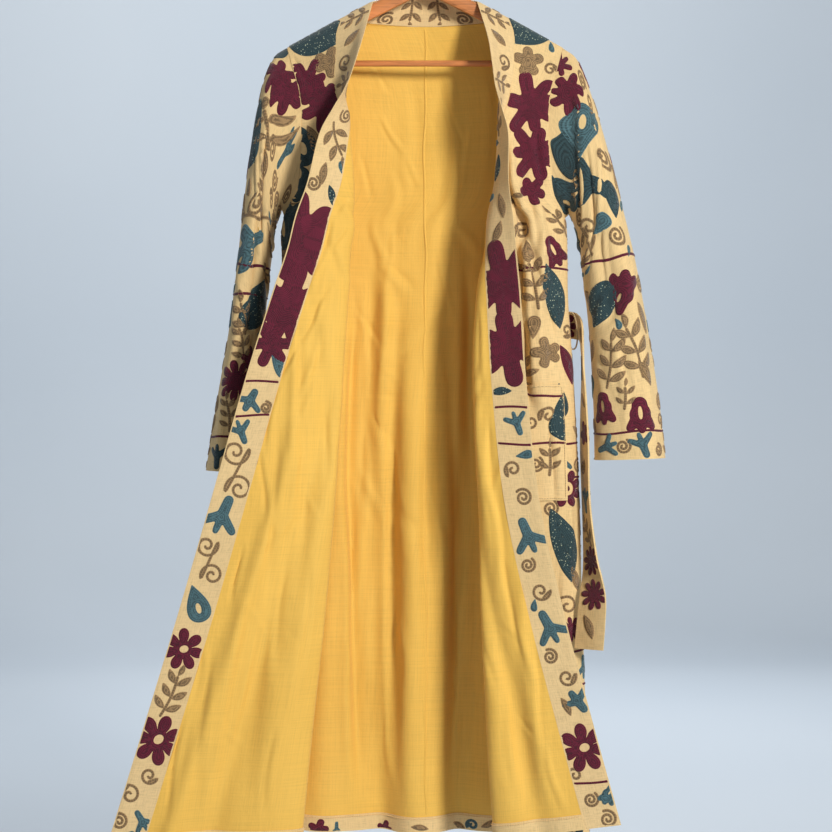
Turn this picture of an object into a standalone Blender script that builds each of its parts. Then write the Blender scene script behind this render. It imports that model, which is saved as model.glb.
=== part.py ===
"""Long open coat with a neckband, hanging on a wooden hanger.

Metres, +Z up. The origin is the inner top of the hanger's hook, where a rail
holds it. The coat's front faces -Y, and the wearer's right side is at -X.

Each panel of cloth is a wall made from a smooth surface. The surface of a
front runs from the side seam round a soft roll to the free edge, because both
fronts hang rolled open. Rows of the tables run from the shoulder, row 0, down
to the hem, row 14, and rows between them are interpolated.
"""
import math

import bpy
import numpy as np

# Walls, measured outward from the surface between outer cloth and lining.
OUTER_WALL = (0.00015, 0.00165)
LINING_WALL = (-0.00115, -0.00015)
BAND_WALL = (-0.0013, 0.0015)
HEM_WALL = (-0.00245, -0.00145)
POCKET_WALL = (0.00200, 0.00320)
SLEEVE_WALL = (-0.0009, 0.0011)
SEAM_GAP = 0.0003
BAND_SEAM_GAP = 0.0005

BAND_WIDTH = 0.050
HEM_ROW = 13.85
LAST_ROW = 14

# Shoulder line of the cloth: a straight slope from the armhole to the neck.
SHOULDER_X = 0.199
SHOULDER_Z = -0.191
SHOULDER_SLOPE = 0.55
SLOPE_FADE_ROW = 1.5

# Bend of the cloth over the hanger's arm: its depth, the row where it is
# complete and the row where it has faded.
ROLL_DEPTH = 0.0080
ROLL_END_ROW = 0.3
ROLL_FADE_ROW = 2.5
ROLL_SIDE_ROWS = 3
ROLL_EDGE_SHARE = 0.6

# How strongly a section's curve keeps its direction at its points: as a share
# of the stretch's length, or as a length added to that.
SIDE_PULL = 0.85
ROLL_PULL = 0.30
ROLL_PULL_BEFORE = 0.045
ROLL_PULL_AFTER = 0.035
EDGE_PULL = 1.1
BACK_SIDE_PULL = 0.8
BLADE_PULL = 0.45
MIDDLE_PULL = 0.6
MIDDLE_WIDTH_PULL = 1.1
NECK_SLOPE = np.array([-0.020, 0.060, 0.0])

# Armhole and side seam, shared by the back and both fronts. y is the distance
# from the middle plane, and turn is how far the cloth's edge has turned from
# running inward (0) to running straight forward or back (90).
# Columns: row, x, y, z, turn.
SIDE_ROWS = (
    (0, 0.1990, 0.000, -0.1910, 0),
    (1, 0.1900, 0.014, -0.2250, 0),
    (2, 0.1815, 0.022, -0.2540, 0),
    (3, 0.1780, 0.026, -0.2820, 0),
    (4, 0.1775, 0.028, -0.3090, 0),
    (5, 0.1780, 0.027, -0.3380, 5),
    (6, 0.1840, 0.019, -0.3980, 30),
    (7, 0.2015, 0.000, -0.4380, 90),
    (8, 0.2050, 0.000, -0.4910, 90),
    (9, 0.2060, 0.000, -0.5580, 90),
    (10, 0.2140, 0.000, -0.6740, 90),
    (11, 0.2220, 0.000, -0.8400, 90),
    (12, 0.2260, 0.000, -0.9970, 90),
    (13, 0.2320, 0.000, -1.1720, 90),
    (14, 0.2370, 0.000, -1.3300, 90),
)

# Fronts: the roll is where the cloth turns back on itself, and turn is its
# direction there, from inward (0) to forward (90). The edge is the free edge.
# Columns: row, roll_x, roll_y, roll_z, turn, edge_x, edge_y, edge_z.
FRONT_RIGHT_ROWS = (
    (0, 0.1050, 0.000, -0.1393, 0, 0.0750, 0.000, -0.1228),
    (1, 0.1100, 0.026, -0.1900, 25, 0.0885, 0.050, -0.1860),
    (2, 0.1150, 0.037, -0.2290, 48, 0.0995, 0.066, -0.2260),
    (3, 0.1170, 0.045, -0.2620, 72, 0.1110, 0.080, -0.2600),
    (4, 0.1090, 0.049, -0.2950, 88, 0.1300, 0.088, -0.2940),
    (5, 0.1065, 0.051, -0.3300, 90, 0.1485, 0.091, -0.3300),
    (6, 0.1015, 0.052, -0.3950, 90, 0.1645, 0.092, -0.3950),
    (7, 0.1025, 0.054, -0.4430, 90, 0.1815, 0.092, -0.4430),
    (8, 0.1065, 0.055, -0.4930, 90, 0.1940, 0.093, -0.4930),
    (9, 0.1095, 0.056, -0.5590, 90, 0.2165, 0.094, -0.5600),
    (10, 0.1165, 0.057, -0.6750, 90, 0.2525, 0.096, -0.6760),
    (11, 0.1250, 0.058, -0.8400, 90, 0.2985, 0.100, -0.8400),
    (12, 0.1405, 0.060, -0.9970, 90, 0.3430, 0.105, -0.9960),
    (13, 0.1600, 0.062, -1.1720, 90, 0.3950, 0.110, -1.1690),
    (14, 0.1755, 0.064, -1.3270, 90, 0.4420, 0.115, -1.3230),
)
FRONT_LEFT_ROWS = (
    (0, 0.1050, 0.000, -0.1393, 0, 0.0750, 0.000, -0.1228),
    (1, 0.1100, 0.026, -0.1900, 25, 0.0890, 0.050, -0.1860),
    (2, 0.1130, 0.038, -0.2290, 48, 0.0945, 0.066, -0.2260),
    (3, 0.1105, 0.047, -0.2620, 70, 0.0985, 0.080, -0.2600),
    (4, 0.1050, 0.052, -0.2950, 84, 0.1075, 0.090, -0.2940),
    (5, 0.1035, 0.052, -0.3300, 90, 0.1160, 0.092, -0.3300),
    (6, 0.0985, 0.050, -0.3950, 90, 0.1165, 0.090, -0.3950),
    (7, 0.0885, 0.050, -0.4430, 90, 0.1225, 0.088, -0.4430),
    (8, 0.0845, 0.052, -0.4930, 90, 0.1275, 0.086, -0.4930),
    (9, 0.0730, 0.054, -0.5590, 90, 0.1340, 0.085, -0.5600),
    (10, 0.0680, 0.055, -0.6750, 90, 0.1415, 0.085, -0.6760),
    (11, 0.0735, 0.056, -0.8400, 90, 0.1590, 0.088, -0.8380),
    (12, 0.0785, 0.058, -0.9970, 90, 0.1915, 0.092, -0.9900),
    (13, 0.0890, 0.060, -1.1720, 90, 0.2345, 0.098, -1.1550),
    (14, 0.0975, 0.062, -1.3200, 90, 0.2720, 0.104, -1.2920),
)

# Back: the blade point stands above the shoulder blade, and the middle is the
# centre back seam of the lining.
# Columns: row, blade_x, blade_y, blade_z, middle_y, middle_z.
BACK_ROWS = (
    (0, 0.1200, 0.000, -0.14755, 0.034, -0.1520),
    (1, 0.1200, 0.021, -0.1930, 0.038, -0.1950),
    (2, 0.1190, 0.029, -0.2300, 0.040, -0.2320),
    (3, 0.1180, 0.033, -0.2640, 0.042, -0.2660),
    (4, 0.1170, 0.035, -0.2970, 0.043, -0.2990),
    (5, 0.1170, 0.036, -0.3320, 0.044, -0.3330),
    (6, 0.1170, 0.037, -0.3970, 0.044, -0.3970),
    (7, 0.1180, 0.037, -0.4440, 0.044, -0.4440),
    (8, 0.1190, 0.038, -0.4940, 0.045, -0.4940),
    (9, 0.1200, 0.039, -0.5600, 0.045, -0.5600),
    (10, 0.1220, 0.040, -0.6760, 0.046, -0.6760),
    (11, 0.1240, 0.042, -0.8420, 0.046, -0.8420),
    (12, 0.1260, 0.043, -1.0000, 0.045, -1.0000),
    (13, 0.1290, 0.044, -1.1760, 0.044, -1.1760),
    (14, 0.1320, 0.045, -1.3350, 0.043, -1.3370),
)

# Folds of the panels. A fold runs between two places across the panel, given
# as shares of its width, from one row to another. Height is outward. A fold
# grows over its first part, ends over its last, and dies out at a seam.
# Columns: across_top, across_end, row_top, row_end, width, height.
FOLD_GROW_SHARE = 0.35
FOLD_END_SHARE = 0.06
FOLD_SEAM_SHARE = 0.08
BACK_FOLDS = (
    (0.385, 0.365, 9.5, 16.0, 0.050, 0.018),
    (0.500, 0.455, 8.0, 16.0, 0.060, -0.012),
    (0.590, 0.600, 9.5, 16.0, 0.042, 0.018),
    (0.700, 0.725, 9.0, 16.0, 0.055, -0.008),
    (0.215, 0.200, 8.5, 16.0, 0.060, -0.009),
    (0.130, 0.110, 10.5, 16.0, 0.040, 0.010),
    (0.850, 0.870, 10.0, 16.0, 0.040, 0.011),
)
FRONT_RIGHT_FOLDS = (
    (0.620, 0.760, 9.0, 15.5, 0.070, 0.010),
    (0.800, 0.930, 9.5, 15.0, 0.045, -0.007),
    (0.180, 0.160, 8.0, 16.0, 0.060, 0.008),
)
FRONT_LEFT_FOLDS = (
    (0.360, 0.300, 6.0, 10.4, 0.050, 0.009),
    (0.560, 0.520, 6.0, 10.8, 0.045, -0.008),
    (0.200, 0.170, 9.5, 16.0, 0.060, 0.004),
    (0.780, 0.800, 10.5, 15.5, 0.060, 0.007),
)

# Sleeves: rings after the armhole. Outer is the edge away from the body, inner
# the edge beside it, and front and back are half depths about mid_y.
# Columns: outer_x, outer_z, inner_x, inner_z, mid_y, front, back.
SLEEVE_LEFT_RINGS = (
    (0.2190, -0.2080, 0.2090, -0.4250, 0.000, 0.036, 0.036),
    (0.2300, -0.2330, 0.2150, -0.4400, 0.000, 0.042, 0.041),
    (0.2430, -0.2700, 0.2210, -0.4580, 0.000, 0.046, 0.044),
    (0.2600, -0.3270, 0.2260, -0.4830, 0.000, 0.048, 0.046),
    (0.2800, -0.4050, 0.2290, -0.5150, -0.002, 0.047, 0.046),
    (0.3020, -0.4960, 0.2350, -0.5620, -0.003, 0.045, 0.045),
    (0.3210, -0.6000, 0.2410, -0.6330, -0.004, 0.044, 0.044),
    (0.3360, -0.6950, 0.2450, -0.7080, -0.005, 0.043, 0.043),
    (0.3460, -0.7840, 0.2465, -0.7870, -0.006, 0.043, 0.043),
)
SLEEVE_RIGHT_RINGS = (
    (0.2190, -0.2080, 0.2090, -0.4250, 0.000, 0.036, 0.036),
    (0.2300, -0.2330, 0.2150, -0.4400, 0.000, 0.042, 0.041),
    (0.2390, -0.2700, 0.2200, -0.4580, 0.000, 0.045, 0.045),
    (0.2490, -0.3270, 0.2225, -0.4830, 0.001, 0.046, 0.047),
    (0.2600, -0.4050, 0.2265, -0.5150, 0.002, 0.046, 0.047),
    (0.2700, -0.4960, 0.2315, -0.5620, 0.003, 0.045, 0.046),
    (0.2830, -0.6000, 0.2375, -0.6330, 0.003, 0.044, 0.045),
    (0.3000, -0.7000, 0.2405, -0.7130, 0.002, 0.043, 0.044),
    (0.3160, -0.8020, 0.2420, -0.8050, 0.000, 0.043, 0.043),
)
# Sleeve folds: around is a share of the way round from the outer edge by the
# front, and along is a share of the sleeve's length.
# Columns: around_top, around_end, along_top, along_end, width, height.
SLEEVE_FOLDS = (
    (0.165, 0.190, 0.30, 1.15, 0.055, 0.006),
    (0.300, 0.290, 0.10, 0.62, 0.050, -0.008),
    (0.640, 0.660, 0.20, 1.10, 0.060, -0.006),
    (0.820, 0.800, 0.35, 1.15, 0.060, 0.005),
)

# Points of each half of a section, from which its columns are read.
SECTION_STEPS = 40
SHARP_ANGLE = 40

# Rows and columns at which the walls are sampled.
PANEL_ROWS = (0, 0.06, 0.15, 0.3, 0.6, 1, 2, 3, 3.5, 4, 4.5, 5, 6, 6.6, 7, 8, 8.5, 9, 9.5, 10, 10.5, 11,
              11.6, 12.3, 13, HEM_ROW, LAST_ROW)
FRONT_STEPS = 12
SHOULDER_STEPS = 4
NECK_STEPS = 6
BAND_STEPS = 3
NECK_SEAM_X = 0.1188
NECK_SPREAD = 1.3
FRONT_EVEN_SHARE = 0.4
ARMHOLE_END_ROW = 7
ARMHOLE_GAP = 0.0008
UNDERARM_OUTWARD = (0.10, 0.0, 1.0)
SLEEVE_STEPS = 11
SLEEVE_SQUARENESS = 0.85

# Free edge of the neckband at the shoulder and at the centre back, and its
# direction at both.
BAND_SHOULDER = np.array([0.0750, 0.0, -0.1228])
BAND_SHOULDER_SLOPE = np.array([-0.012, 0.055, 0.016])
BAND_MIDDLE = np.array([0.0, 0.0285, -0.1035])
BAND_MIDDLE_SLOPE = np.array([-0.085, 0.0, 0.0])

# Patch pocket, in the same rows and columns as the left front.
POCKET_ROWS = (10, 10.5, 11)
POCKET_COLUMNS = (2, 7)

# Belt and its thread carriers.
BELT_WIDTH = 0.045
BELT_THICKNESS = 0.0024
BELT_ROW = 9.28
BELT_CLEARANCE = 0.0024
BELT_BACK_START = 0.11
BELT_BACK_STEPS = 15
BELT_END_STEPS = 2
CARRIER_RADIUS = 0.0011
CARRIER_HALF_HEIGHT = 0.027
CARRIER_STANDOFF = 0.0095
CARRIER_Z = -0.6000
CARRIER_SEAT = 0.0006
CARRIER_SQUARENESS = 0.6
CARRIER_STEPS = 12
CARRIER_SIDES = 6
# Hanging ends of the belt, from the carrier to the tip. Facing turns the strip
# from standing on edge at the side seam (0) to facing forward (180).
# Columns: x, y, z, width_share, facing.
BELT_LEFT_END = (
    (0.2195, 0.0240, -0.5915, 0.86, 0),
    (0.2262, 0.0040, -0.6000, 0.72, 35),
    (0.2272, -0.0080, -0.6240, 0.72, 78),
    (0.2282, -0.0110, -0.6650, 0.85, 92),
    (0.2300, -0.0130, -0.7500, 0.95, 97),
    (0.2315, -0.0170, -0.8400, 1.00, 100),
    (0.2365, -0.0290, -0.9200, 1.00, 106),
    (0.2390, -0.0380, -0.9550, 1.00, 120),
    (0.2385, -0.0440, -0.9850, 1.00, 140),
    (0.2360, -0.0450, -1.0200, 1.00, 148),
    (0.2330, -0.0450, -1.0560, 1.00, 150),
)
BELT_RIGHT_END = (
    (0.2195, 0.0240, -0.5915, 0.86, 0),
    (0.2262, 0.0040, -0.6000, 0.72, 35),
    (0.2270, -0.0060, -0.6240, 0.72, 78),
    (0.2275, -0.0080, -0.6650, 0.85, 90),
    (0.2290, -0.0060, -0.7500, 0.95, 88),
    (0.2310, -0.0040, -0.8400, 1.00, 86),
    (0.2335, -0.0060, -0.9300, 1.00, 92),
    (0.2350, -0.0080, -1.0200, 1.00, 98),
    (0.2370, -0.0100, -1.0980, 1.00, 104),
)

# Hanger.
ARM_HALF_SPAN = 0.2065
ARM_HALF_THICKNESS = 0.0042
ARM_SEAT = 0.0007
ARM_SIDES = 12
ARM_SQUARENESS = 0.7
ARM_TIP_X = 0.195
ARM_TIP_RUN = 0.0115
ARM_TIP_DROP = 0.012
ARM_TIP_HEIGHT = 0.018
BOSS_WALL = 0.003
BOSS_STEP = 0.0008
# Height of the arms: distance from the middle, height.
ARM_HEIGHTS = ((0.0, 0.026), (0.09, 0.0215), (0.183, 0.019))
ARM_PLACES = (0.0, 0.02, 0.05, 0.09, 0.13, 0.165)
BOSS_OUTER_X = 0.1985
BAR_RADIUS = 0.0045
BAR_Z = -0.2125
BAR_HALF_LENGTH = 0.1830
BAR_SIDES = 12
HOOK_WIRE_RADIUS = 0.0018
HOOK_INNER_RADIUS = 0.0190
HOOK_START_ANGLE = -35
HOOK_TURN = 235
HOOK_STEPS = 18
HOOK_SIDES = 8
# Neck of the hook, below its round part: x, distance below its middle.
HOOK_NECK = ((0.0062, 0.0235), (0.0015, 0.0290), (0.0, 0.0360))

COTTON = (0.73, 0.53, 0.26)
LINING_COTTON = (0.75, 0.43, 0.06)
BAND_COTTON = (0.70, 0.52, 0.30)
WOOD = (0.58, 0.26, 0.11)
METAL = (0.62, 0.62, 0.63)


def clear_scene():
    for thing in list(bpy.data.objects):
        bpy.data.objects.remove(thing, do_unlink=True)


def make_material(name, color, roughness, metallic=0.0):
    material = bpy.data.materials.new(name)
    material.use_nodes = True
    shader = material.node_tree.nodes["Principled BSDF"]
    shader.inputs["Base Color"].default_value = (*color, 1.0)
    shader.inputs["Roughness"].default_value = roughness
    shader.inputs["Metallic"].default_value = metallic
    return material


def read_row(rows, row):
    """Values of a table at any row, by a smooth curve through its rows."""
    table = np.array(rows, dtype=float)
    places = table[:, 0]
    values = table[:, 1:]
    slopes = np.gradient(values, places, axis=0)
    index = int(np.clip(np.searchsorted(places, row, side="right") - 1, 0, len(places) - 2))
    step = places[index + 1] - places[index]
    share = (row - places[index]) / step
    return hermite(values[index], slopes[index] * step, values[index + 1], slopes[index + 1] * step, share)


def hermite(start, start_slope, end, end_slope, share):
    square = share * share
    cube = square * share
    return ((2 * cube - 3 * square + 1) * start + (cube - 2 * square + share) * start_slope
            + (3 * square - 2 * cube) * end + (cube - square) * end_slope)


def hermite_run(start, start_slope, end, end_slope):
    shares = [step / SECTION_STEPS for step in range(SECTION_STEPS + 1)]
    return [hermite(start, start_slope, end, end_slope, share) for share in shares]


def shoulder_roll(row):
    """Extra depth just under the shoulder line, where cloth bends over the arm."""
    rise = 1.0 - min(row / ROLL_END_ROW, 1.0)
    fade = max(0.0, 1.0 - row / ROLL_FADE_ROW)
    return ROLL_DEPTH * math.sqrt(1.0 - rise * rise) * fade


def side_point(row, depth_sign):
    """Point on the armhole or side seam, and the cloth's direction there."""
    x, y, z, turn = read_row(SIDE_ROWS, row)
    y = y + shoulder_roll(row) * (1.0 if row < ROLL_SIDE_ROWS else 0.0)
    if row >= ARMHOLE_END_ROW:
        y = 0.0
    y = max(y, 0.5 * SEAM_GAP)
    angle = math.radians(turn)
    rise = SHOULDER_SLOPE * max(0.0, 1.0 - row / SLOPE_FADE_ROW)
    direction = np.array([-math.cos(angle), depth_sign * math.sin(angle), rise * math.cos(angle)])
    return np.array([x, depth_sign * y, z]), direction


def front_section(rows, row):
    """Dense section of a front at +X, from the side seam to the free edge."""
    side, inward = side_point(row, -1.0)
    roll_x, roll_y, roll_z, turn, edge_x, edge_y, edge_z = read_row(rows, row)
    depth = shoulder_roll(row)
    roll = np.array([roll_x, min(-roll_y - depth, -0.5 * SEAM_GAP), roll_z])
    edge = np.array([edge_x, min(-edge_y - depth * ROLL_EDGE_SHARE, -0.5 * SEAM_GAP), edge_z])
    angle = math.radians(turn)
    rise = SHOULDER_SLOPE * math.cos(angle) * max(0.0, 1.0 - row)
    forward = np.array([-math.cos(angle), -math.sin(angle), rise])
    reach = np.linalg.norm(roll - side)
    flap = np.linalg.norm(edge - roll)
    before = forward * (ROLL_PULL * reach + ROLL_PULL_BEFORE)
    after = forward * (ROLL_PULL * flap + ROLL_PULL_AFTER)
    first = hermite_run(side, inward * reach * SIDE_PULL, roll, before)
    second = hermite_run(roll, after, edge, (edge - roll) * EDGE_PULL)
    if row == 0:
        first = hermite_run(side, roll - side, roll, roll - side)
        second = hermite_run(roll, edge - roll, edge, edge - roll)
    return np.array(first + second[1:])


def back_section(row):
    """Dense section of the back, from the side seam at -X to the one at +X."""
    side, inward = side_point(row, 1.0)
    blade_x, blade_y, blade_z, middle_y, middle_z = read_row(BACK_ROWS, row)
    blade = np.array([blade_x, max(blade_y + shoulder_roll(row), 0.5 * SEAM_GAP), blade_z])
    middle = np.array([0.0, middle_y, middle_z])
    reach = np.linalg.norm(blade - side)
    low = min(1.0, row)
    start = (blade - side) * (1.0 - low) + inward * reach * BACK_SIDE_PULL * low
    arrive = (blade - side) * (1.0 - low) + (middle - side) * BLADE_PULL * low
    leave = NECK_SLOPE * (1.0 - low) + (middle - side) * MIDDLE_PULL * low
    outer = hermite_run(side, start, blade, arrive)
    level = np.array([-blade_x * MIDDLE_WIDTH_PULL, 0.0, 0.0])
    inner = hermite_run(blade, leave, middle, level)
    half = np.array(outer + inner[1:])
    mirrored = half * np.array([-1.0, 1.0, 1.0])
    return np.vstack([mirrored, half[-2::-1]])


def arc_lengths(points):
    steps = np.linalg.norm(np.diff(points, axis=0), axis=1)
    return np.concatenate([[0.0], np.cumsum(steps)])


def at_lengths(points, lengths):
    """Points of a polyline at the given distances along it."""
    along = arc_lengths(points)
    return np.stack([np.interp(lengths, along, points[:, axis]) for axis in range(3)], axis=1)


def front_lengths(section):
    """Distances across a front where its columns stand, then those of its band."""
    along = arc_lengths(section)
    seam = along[-1] - BAND_WIDTH
    places = np.linspace(0.0, 1.0, len(section))
    seam_place = np.interp(seam, along, places)
    by_place = np.interp(np.linspace(0.0, seam_place, FRONT_STEPS + 1), places, along)
    even = np.linspace(0.0, seam, FRONT_STEPS + 1)
    band = np.linspace(seam, along[-1], BAND_STEPS + 1)
    mixed = (1.0 - FRONT_EVEN_SHARE) * by_place + FRONT_EVEN_SHARE * even
    return np.concatenate([mixed, band[1:]]), seam


def fold_height(folds, across, row):
    """Outward height of all the folds at a place on a panel."""
    total = 0.0
    for across_top, across_end, row_top, row_end, width, height in folds:
        share = (row - row_top) / (row_end - row_top)
        if share <= 0.0 or share >= 1.0:
            continue
        middle = across_top + (across_end - across_top) * share
        offset = (across - middle) / width
        fade = min(1.0, share / FOLD_GROW_SHARE) * min(1.0, (1.0 - share) / FOLD_END_SHARE)
        total += height * math.exp(-offset * offset) * fade * fade * (3.0 - 2.0 * fade)
    return total


def grid_normals(grid, sign, closed=False):
    """Unit normals of a grid of points, taken from its neighbours."""
    if closed:
        wrapped = np.concatenate([grid[:, -1:], grid, grid[:, :1]], axis=1)
        across = (wrapped[:, 2:] - wrapped[:, :-2])
    else:
        across = np.gradient(grid, axis=1)
    down = np.gradient(grid, axis=0)
    normals = np.cross(across, down) * sign
    return normals / np.linalg.norm(normals, axis=2, keepdims=True)


def flatten_normal(normals, axis):
    """Normals turned square to a seam's plane, so that two walls butt there."""
    normals[..., axis] = 0.0
    normals /= np.linalg.norm(normals, axis=-1, keepdims=True)


def bend_folds(grid, normals, folds, rows, shares):
    """Grid moved along its normals by the folds, each point at its own share."""
    for i, row in enumerate(rows):
        for j, share in enumerate(shares[i]):
            fade = max(0.0, min(1.0, share / FOLD_SEAM_SHARE, (1.0 - share) / FOLD_SEAM_SHARE))
            grid[i, j] += normals[i, j] * fold_height(folds, share, row) * fade
    return grid


def add_object(name, vertices, triangles, material):
    mesh = bpy.data.meshes.new(name)
    corners = np.array(vertices)
    volume = 0.0
    for a, b, c in triangles:
        volume += np.dot(corners[a], np.cross(corners[b], corners[c]))
    if volume < 0.0:
        triangles = [(a, c, b) for a, b, c in triangles]
    mesh.from_pydata([tuple(point) for point in vertices], [], triangles)
    mesh.validate()
    mesh.shade_smooth()
    mesh.set_sharp_from_angle(angle=math.radians(SHARP_ANGLE))
    mesh.materials.append(material)
    thing = bpy.data.objects.new(name, mesh)
    bpy.context.scene.collection.objects.link(thing)
    return thing


def make_wall(name, grid, normals, wall, material, closed=False):
    """Closed wall of cloth between two offsets of a grid of points."""
    rows, columns = grid.shape[:2]
    outer = (grid + normals * wall[1]).reshape(-1, 3)
    inner = (grid + normals * wall[0]).reshape(-1, 3)
    vertices = np.vstack([outer, inner])
    half = len(outer)
    triangles = []

    def add_quad(a, b, c, d):
        triangles.append((a, b, c))
        triangles.append((a, c, d))

    spans = columns if closed else columns - 1
    for i in range(rows - 1):
        for j in range(spans):
            k = (j + 1) % columns
            a = i * columns + j
            b = i * columns + k
            c = (i + 1) * columns + k
            d = (i + 1) * columns + j
            if closed and j >= columns // 2:
                a, b, c, d = b, c, d, a
            add_quad(a, b, c, d)
            triangles.append((half + a, half + c, half + b))
            triangles.append((half + a, half + d, half + c))
    for j in range(spans):
        k = (j + 1) % columns
        add_quad(j, half + j, half + k, k)
        last = (rows - 1) * columns
        add_quad(last + k, half + last + k, half + last + j, last + j)
    if not closed:
        for i in range(rows - 1):
            top = i * columns
            low = (i + 1) * columns
            add_quad(low, half + low, half + top, top)
            top += columns - 1
            low += columns - 1
            triangles.append((low, top, half + top))
            triangles.append((low, half + top, half + low))
    return add_object(name, vertices, triangles, material)


def mirror_x(points):
    return points * np.array([-1.0, 1.0, 1.0])


def front_grid(rows, folds):
    """Grid and outward normals of a whole front at +X, its band included."""
    grid = []
    shares = []
    for row in PANEL_ROWS:
        section = front_section(rows, row)
        lengths, seam = front_lengths(section)
        grid.append(at_lengths(section, lengths))
        shares.append(lengths / seam)
    grid = np.array(grid)
    grid = bend_folds(grid, front_normals(grid), folds, PANEL_ROWS, shares)
    return grid, front_normals(grid)


def front_normals(grid):
    normals = grid_normals(grid, 1.0)
    flatten_normal(normals[0], 1)
    low = PANEL_ROWS.index(ARMHOLE_END_ROW)
    flatten_normal(normals[low:, 0], 1)
    return normals


def split_at_seam(grid, normals, column):
    """Two grids that share a seam, each drawn back from it by half the gap."""
    first = grid[:, :column + 1].copy()
    second = grid[:, column:].copy()
    for piece, edge, inner in ((first, -1, -2), (second, 0, 1)):
        inward = piece[:, inner] - piece[:, edge]
        normal = normals[:, column]
        inward -= normal * np.sum(inward * normal, axis=1, keepdims=True)
        inward /= np.linalg.norm(inward, axis=1, keepdims=True)
        piece[:, edge] += inward * 0.5 * BAND_SEAM_GAP
    return first, second


def back_shares():
    """Shares across the back where its columns stand, one at each end of the neck."""
    section = back_section(0)
    half = section[:len(section) // 2 + 1]
    along = arc_lengths(half)
    neck = np.interp(-NECK_SEAM_X, half[:, 0], along) / (2.0 * along[-1])
    left = np.concatenate([np.linspace(0.0, neck, SHOULDER_STEPS + 1),
                           neck + (0.5 - neck) * np.linspace(0.0, 1.0, NECK_STEPS + 1)[1:] ** NECK_SPREAD])
    return np.concatenate([left, 1.0 - left[-2::-1]])


def back_panel():
    share = back_shares()
    grid = []
    for row in PANEL_ROWS:
        section = back_section(row)
        grid.append(at_lengths(section, share * arc_lengths(section)[-1]))
    grid = np.array(grid)
    shares = [share] * len(PANEL_ROWS)
    grid = bend_folds(grid, back_normals(grid), BACK_FOLDS, PANEL_ROWS, shares)
    return grid, back_normals(grid)


def back_normals(grid):
    normals = grid_normals(grid, 1.0)
    low = PANEL_ROWS.index(ARMHOLE_END_ROW)
    for side in (0, -1):
        flatten_normal(normals[low:, side], 1)
    for columns in (slice(0, SHOULDER_STEPS + 1), slice(-SHOULDER_STEPS - 1, None)):
        flatten_normal(normals[0, columns], 1)
    return normals


def neck_band(back, back_out):
    """Back part of the band at +X: rows from the centre back to the shoulder."""
    middle = back.shape[1] // 2
    grid = []
    normals = []
    for station in range(NECK_STEPS):
        seam = back[0, middle + station].copy()
        normal = back_out[0, middle + station].copy()
        share = 1.0 - station / NECK_STEPS
        free = hermite(BAND_SHOULDER, BAND_SHOULDER_SLOPE, BAND_MIDDLE, BAND_MIDDLE_SLOPE, share)
        across = free - seam
        across -= normal * np.dot(across, normal)
        seam += across / np.linalg.norm(across) * SEAM_GAP
        if station == 0:
            seam[0] = 0.5 * SEAM_GAP
            free[0] = 0.5 * SEAM_GAP
        grid.append([seam + (free - seam) * k / BAND_STEPS for k in range(BAND_STEPS + 1)])
        normals.append(normal)
    return np.array(grid), np.array(normals)


def band_grid(front_part, front_out, back, back_out):
    """Grid of the folded neckband at +X, from the centre back down to the hem."""
    neck, seam_normals = neck_band(back, back_out)
    grid = np.concatenate([neck, front_part])
    normals = grid_normals(grid, 1.0)
    flatten_normal(normals[0], 0)
    normals[:NECK_STEPS, 0] = seam_normals
    flatten_normal(normals[0, :1], 0)
    flatten_normal(normals[NECK_STEPS], 1)
    normals[NECK_STEPS:, 0] = front_out[:, FRONT_STEPS]
    return grid, normals


def armhole_side(grid, normals):
    """Points just outside a panel's armhole edge, with the panel's normals."""
    count = PANEL_ROWS.index(ARMHOLE_END_ROW) + 1
    edge = grid[:count, 0]
    normal = normals[:count, 0]
    along = np.gradient(edge, axis=0)
    along /= np.linalg.norm(along, axis=1, keepdims=True)
    outward = edge - grid[:count, 1]
    for direction in (along, normal):
        outward = outward - direction * np.sum(outward * direction, axis=1, keepdims=True)
    outward[-1] = UNDERARM_OUTWARD
    outward /= np.linalg.norm(outward, axis=1, keepdims=True)
    return edge + outward * ARMHOLE_GAP, normal


def armhole_ring(front, front_out, back, back_out):
    """First ring of a sleeve at +X: down the front of the armhole, up its back."""
    front_edge, front_normal = armhole_side(front, front_out)
    back_edge, back_normal = armhole_side(back[:, ::-1], back_out[:, ::-1])
    for ends in (0, -1):
        front_edge[ends, 1] = 0.0
    ring = np.concatenate([front_edge, back_edge[-2:0:-1]])
    return ring, np.concatenate([front_normal, back_normal[-2:0:-1]])


def plain_ring(count, outer_x, outer_z, inner_x, inner_z, mid_y, front, back):
    outer = np.array([outer_x, mid_y, outer_z])
    inner = np.array([inner_x, mid_y, inner_z])
    ring = []
    for step in range(count):
        angle = 2.0 * math.pi * step / count
        side = math.cos(angle)
        depth = math.sin(angle)
        point = 0.5 * (outer + inner) + 0.5 * (outer - inner) * side
        reach = front if depth > 0.0 else back
        point[1] -= reach * math.copysign(abs(depth) ** SLEEVE_SQUARENESS, depth)
        ring.append(point)
    return np.array(ring)


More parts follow.
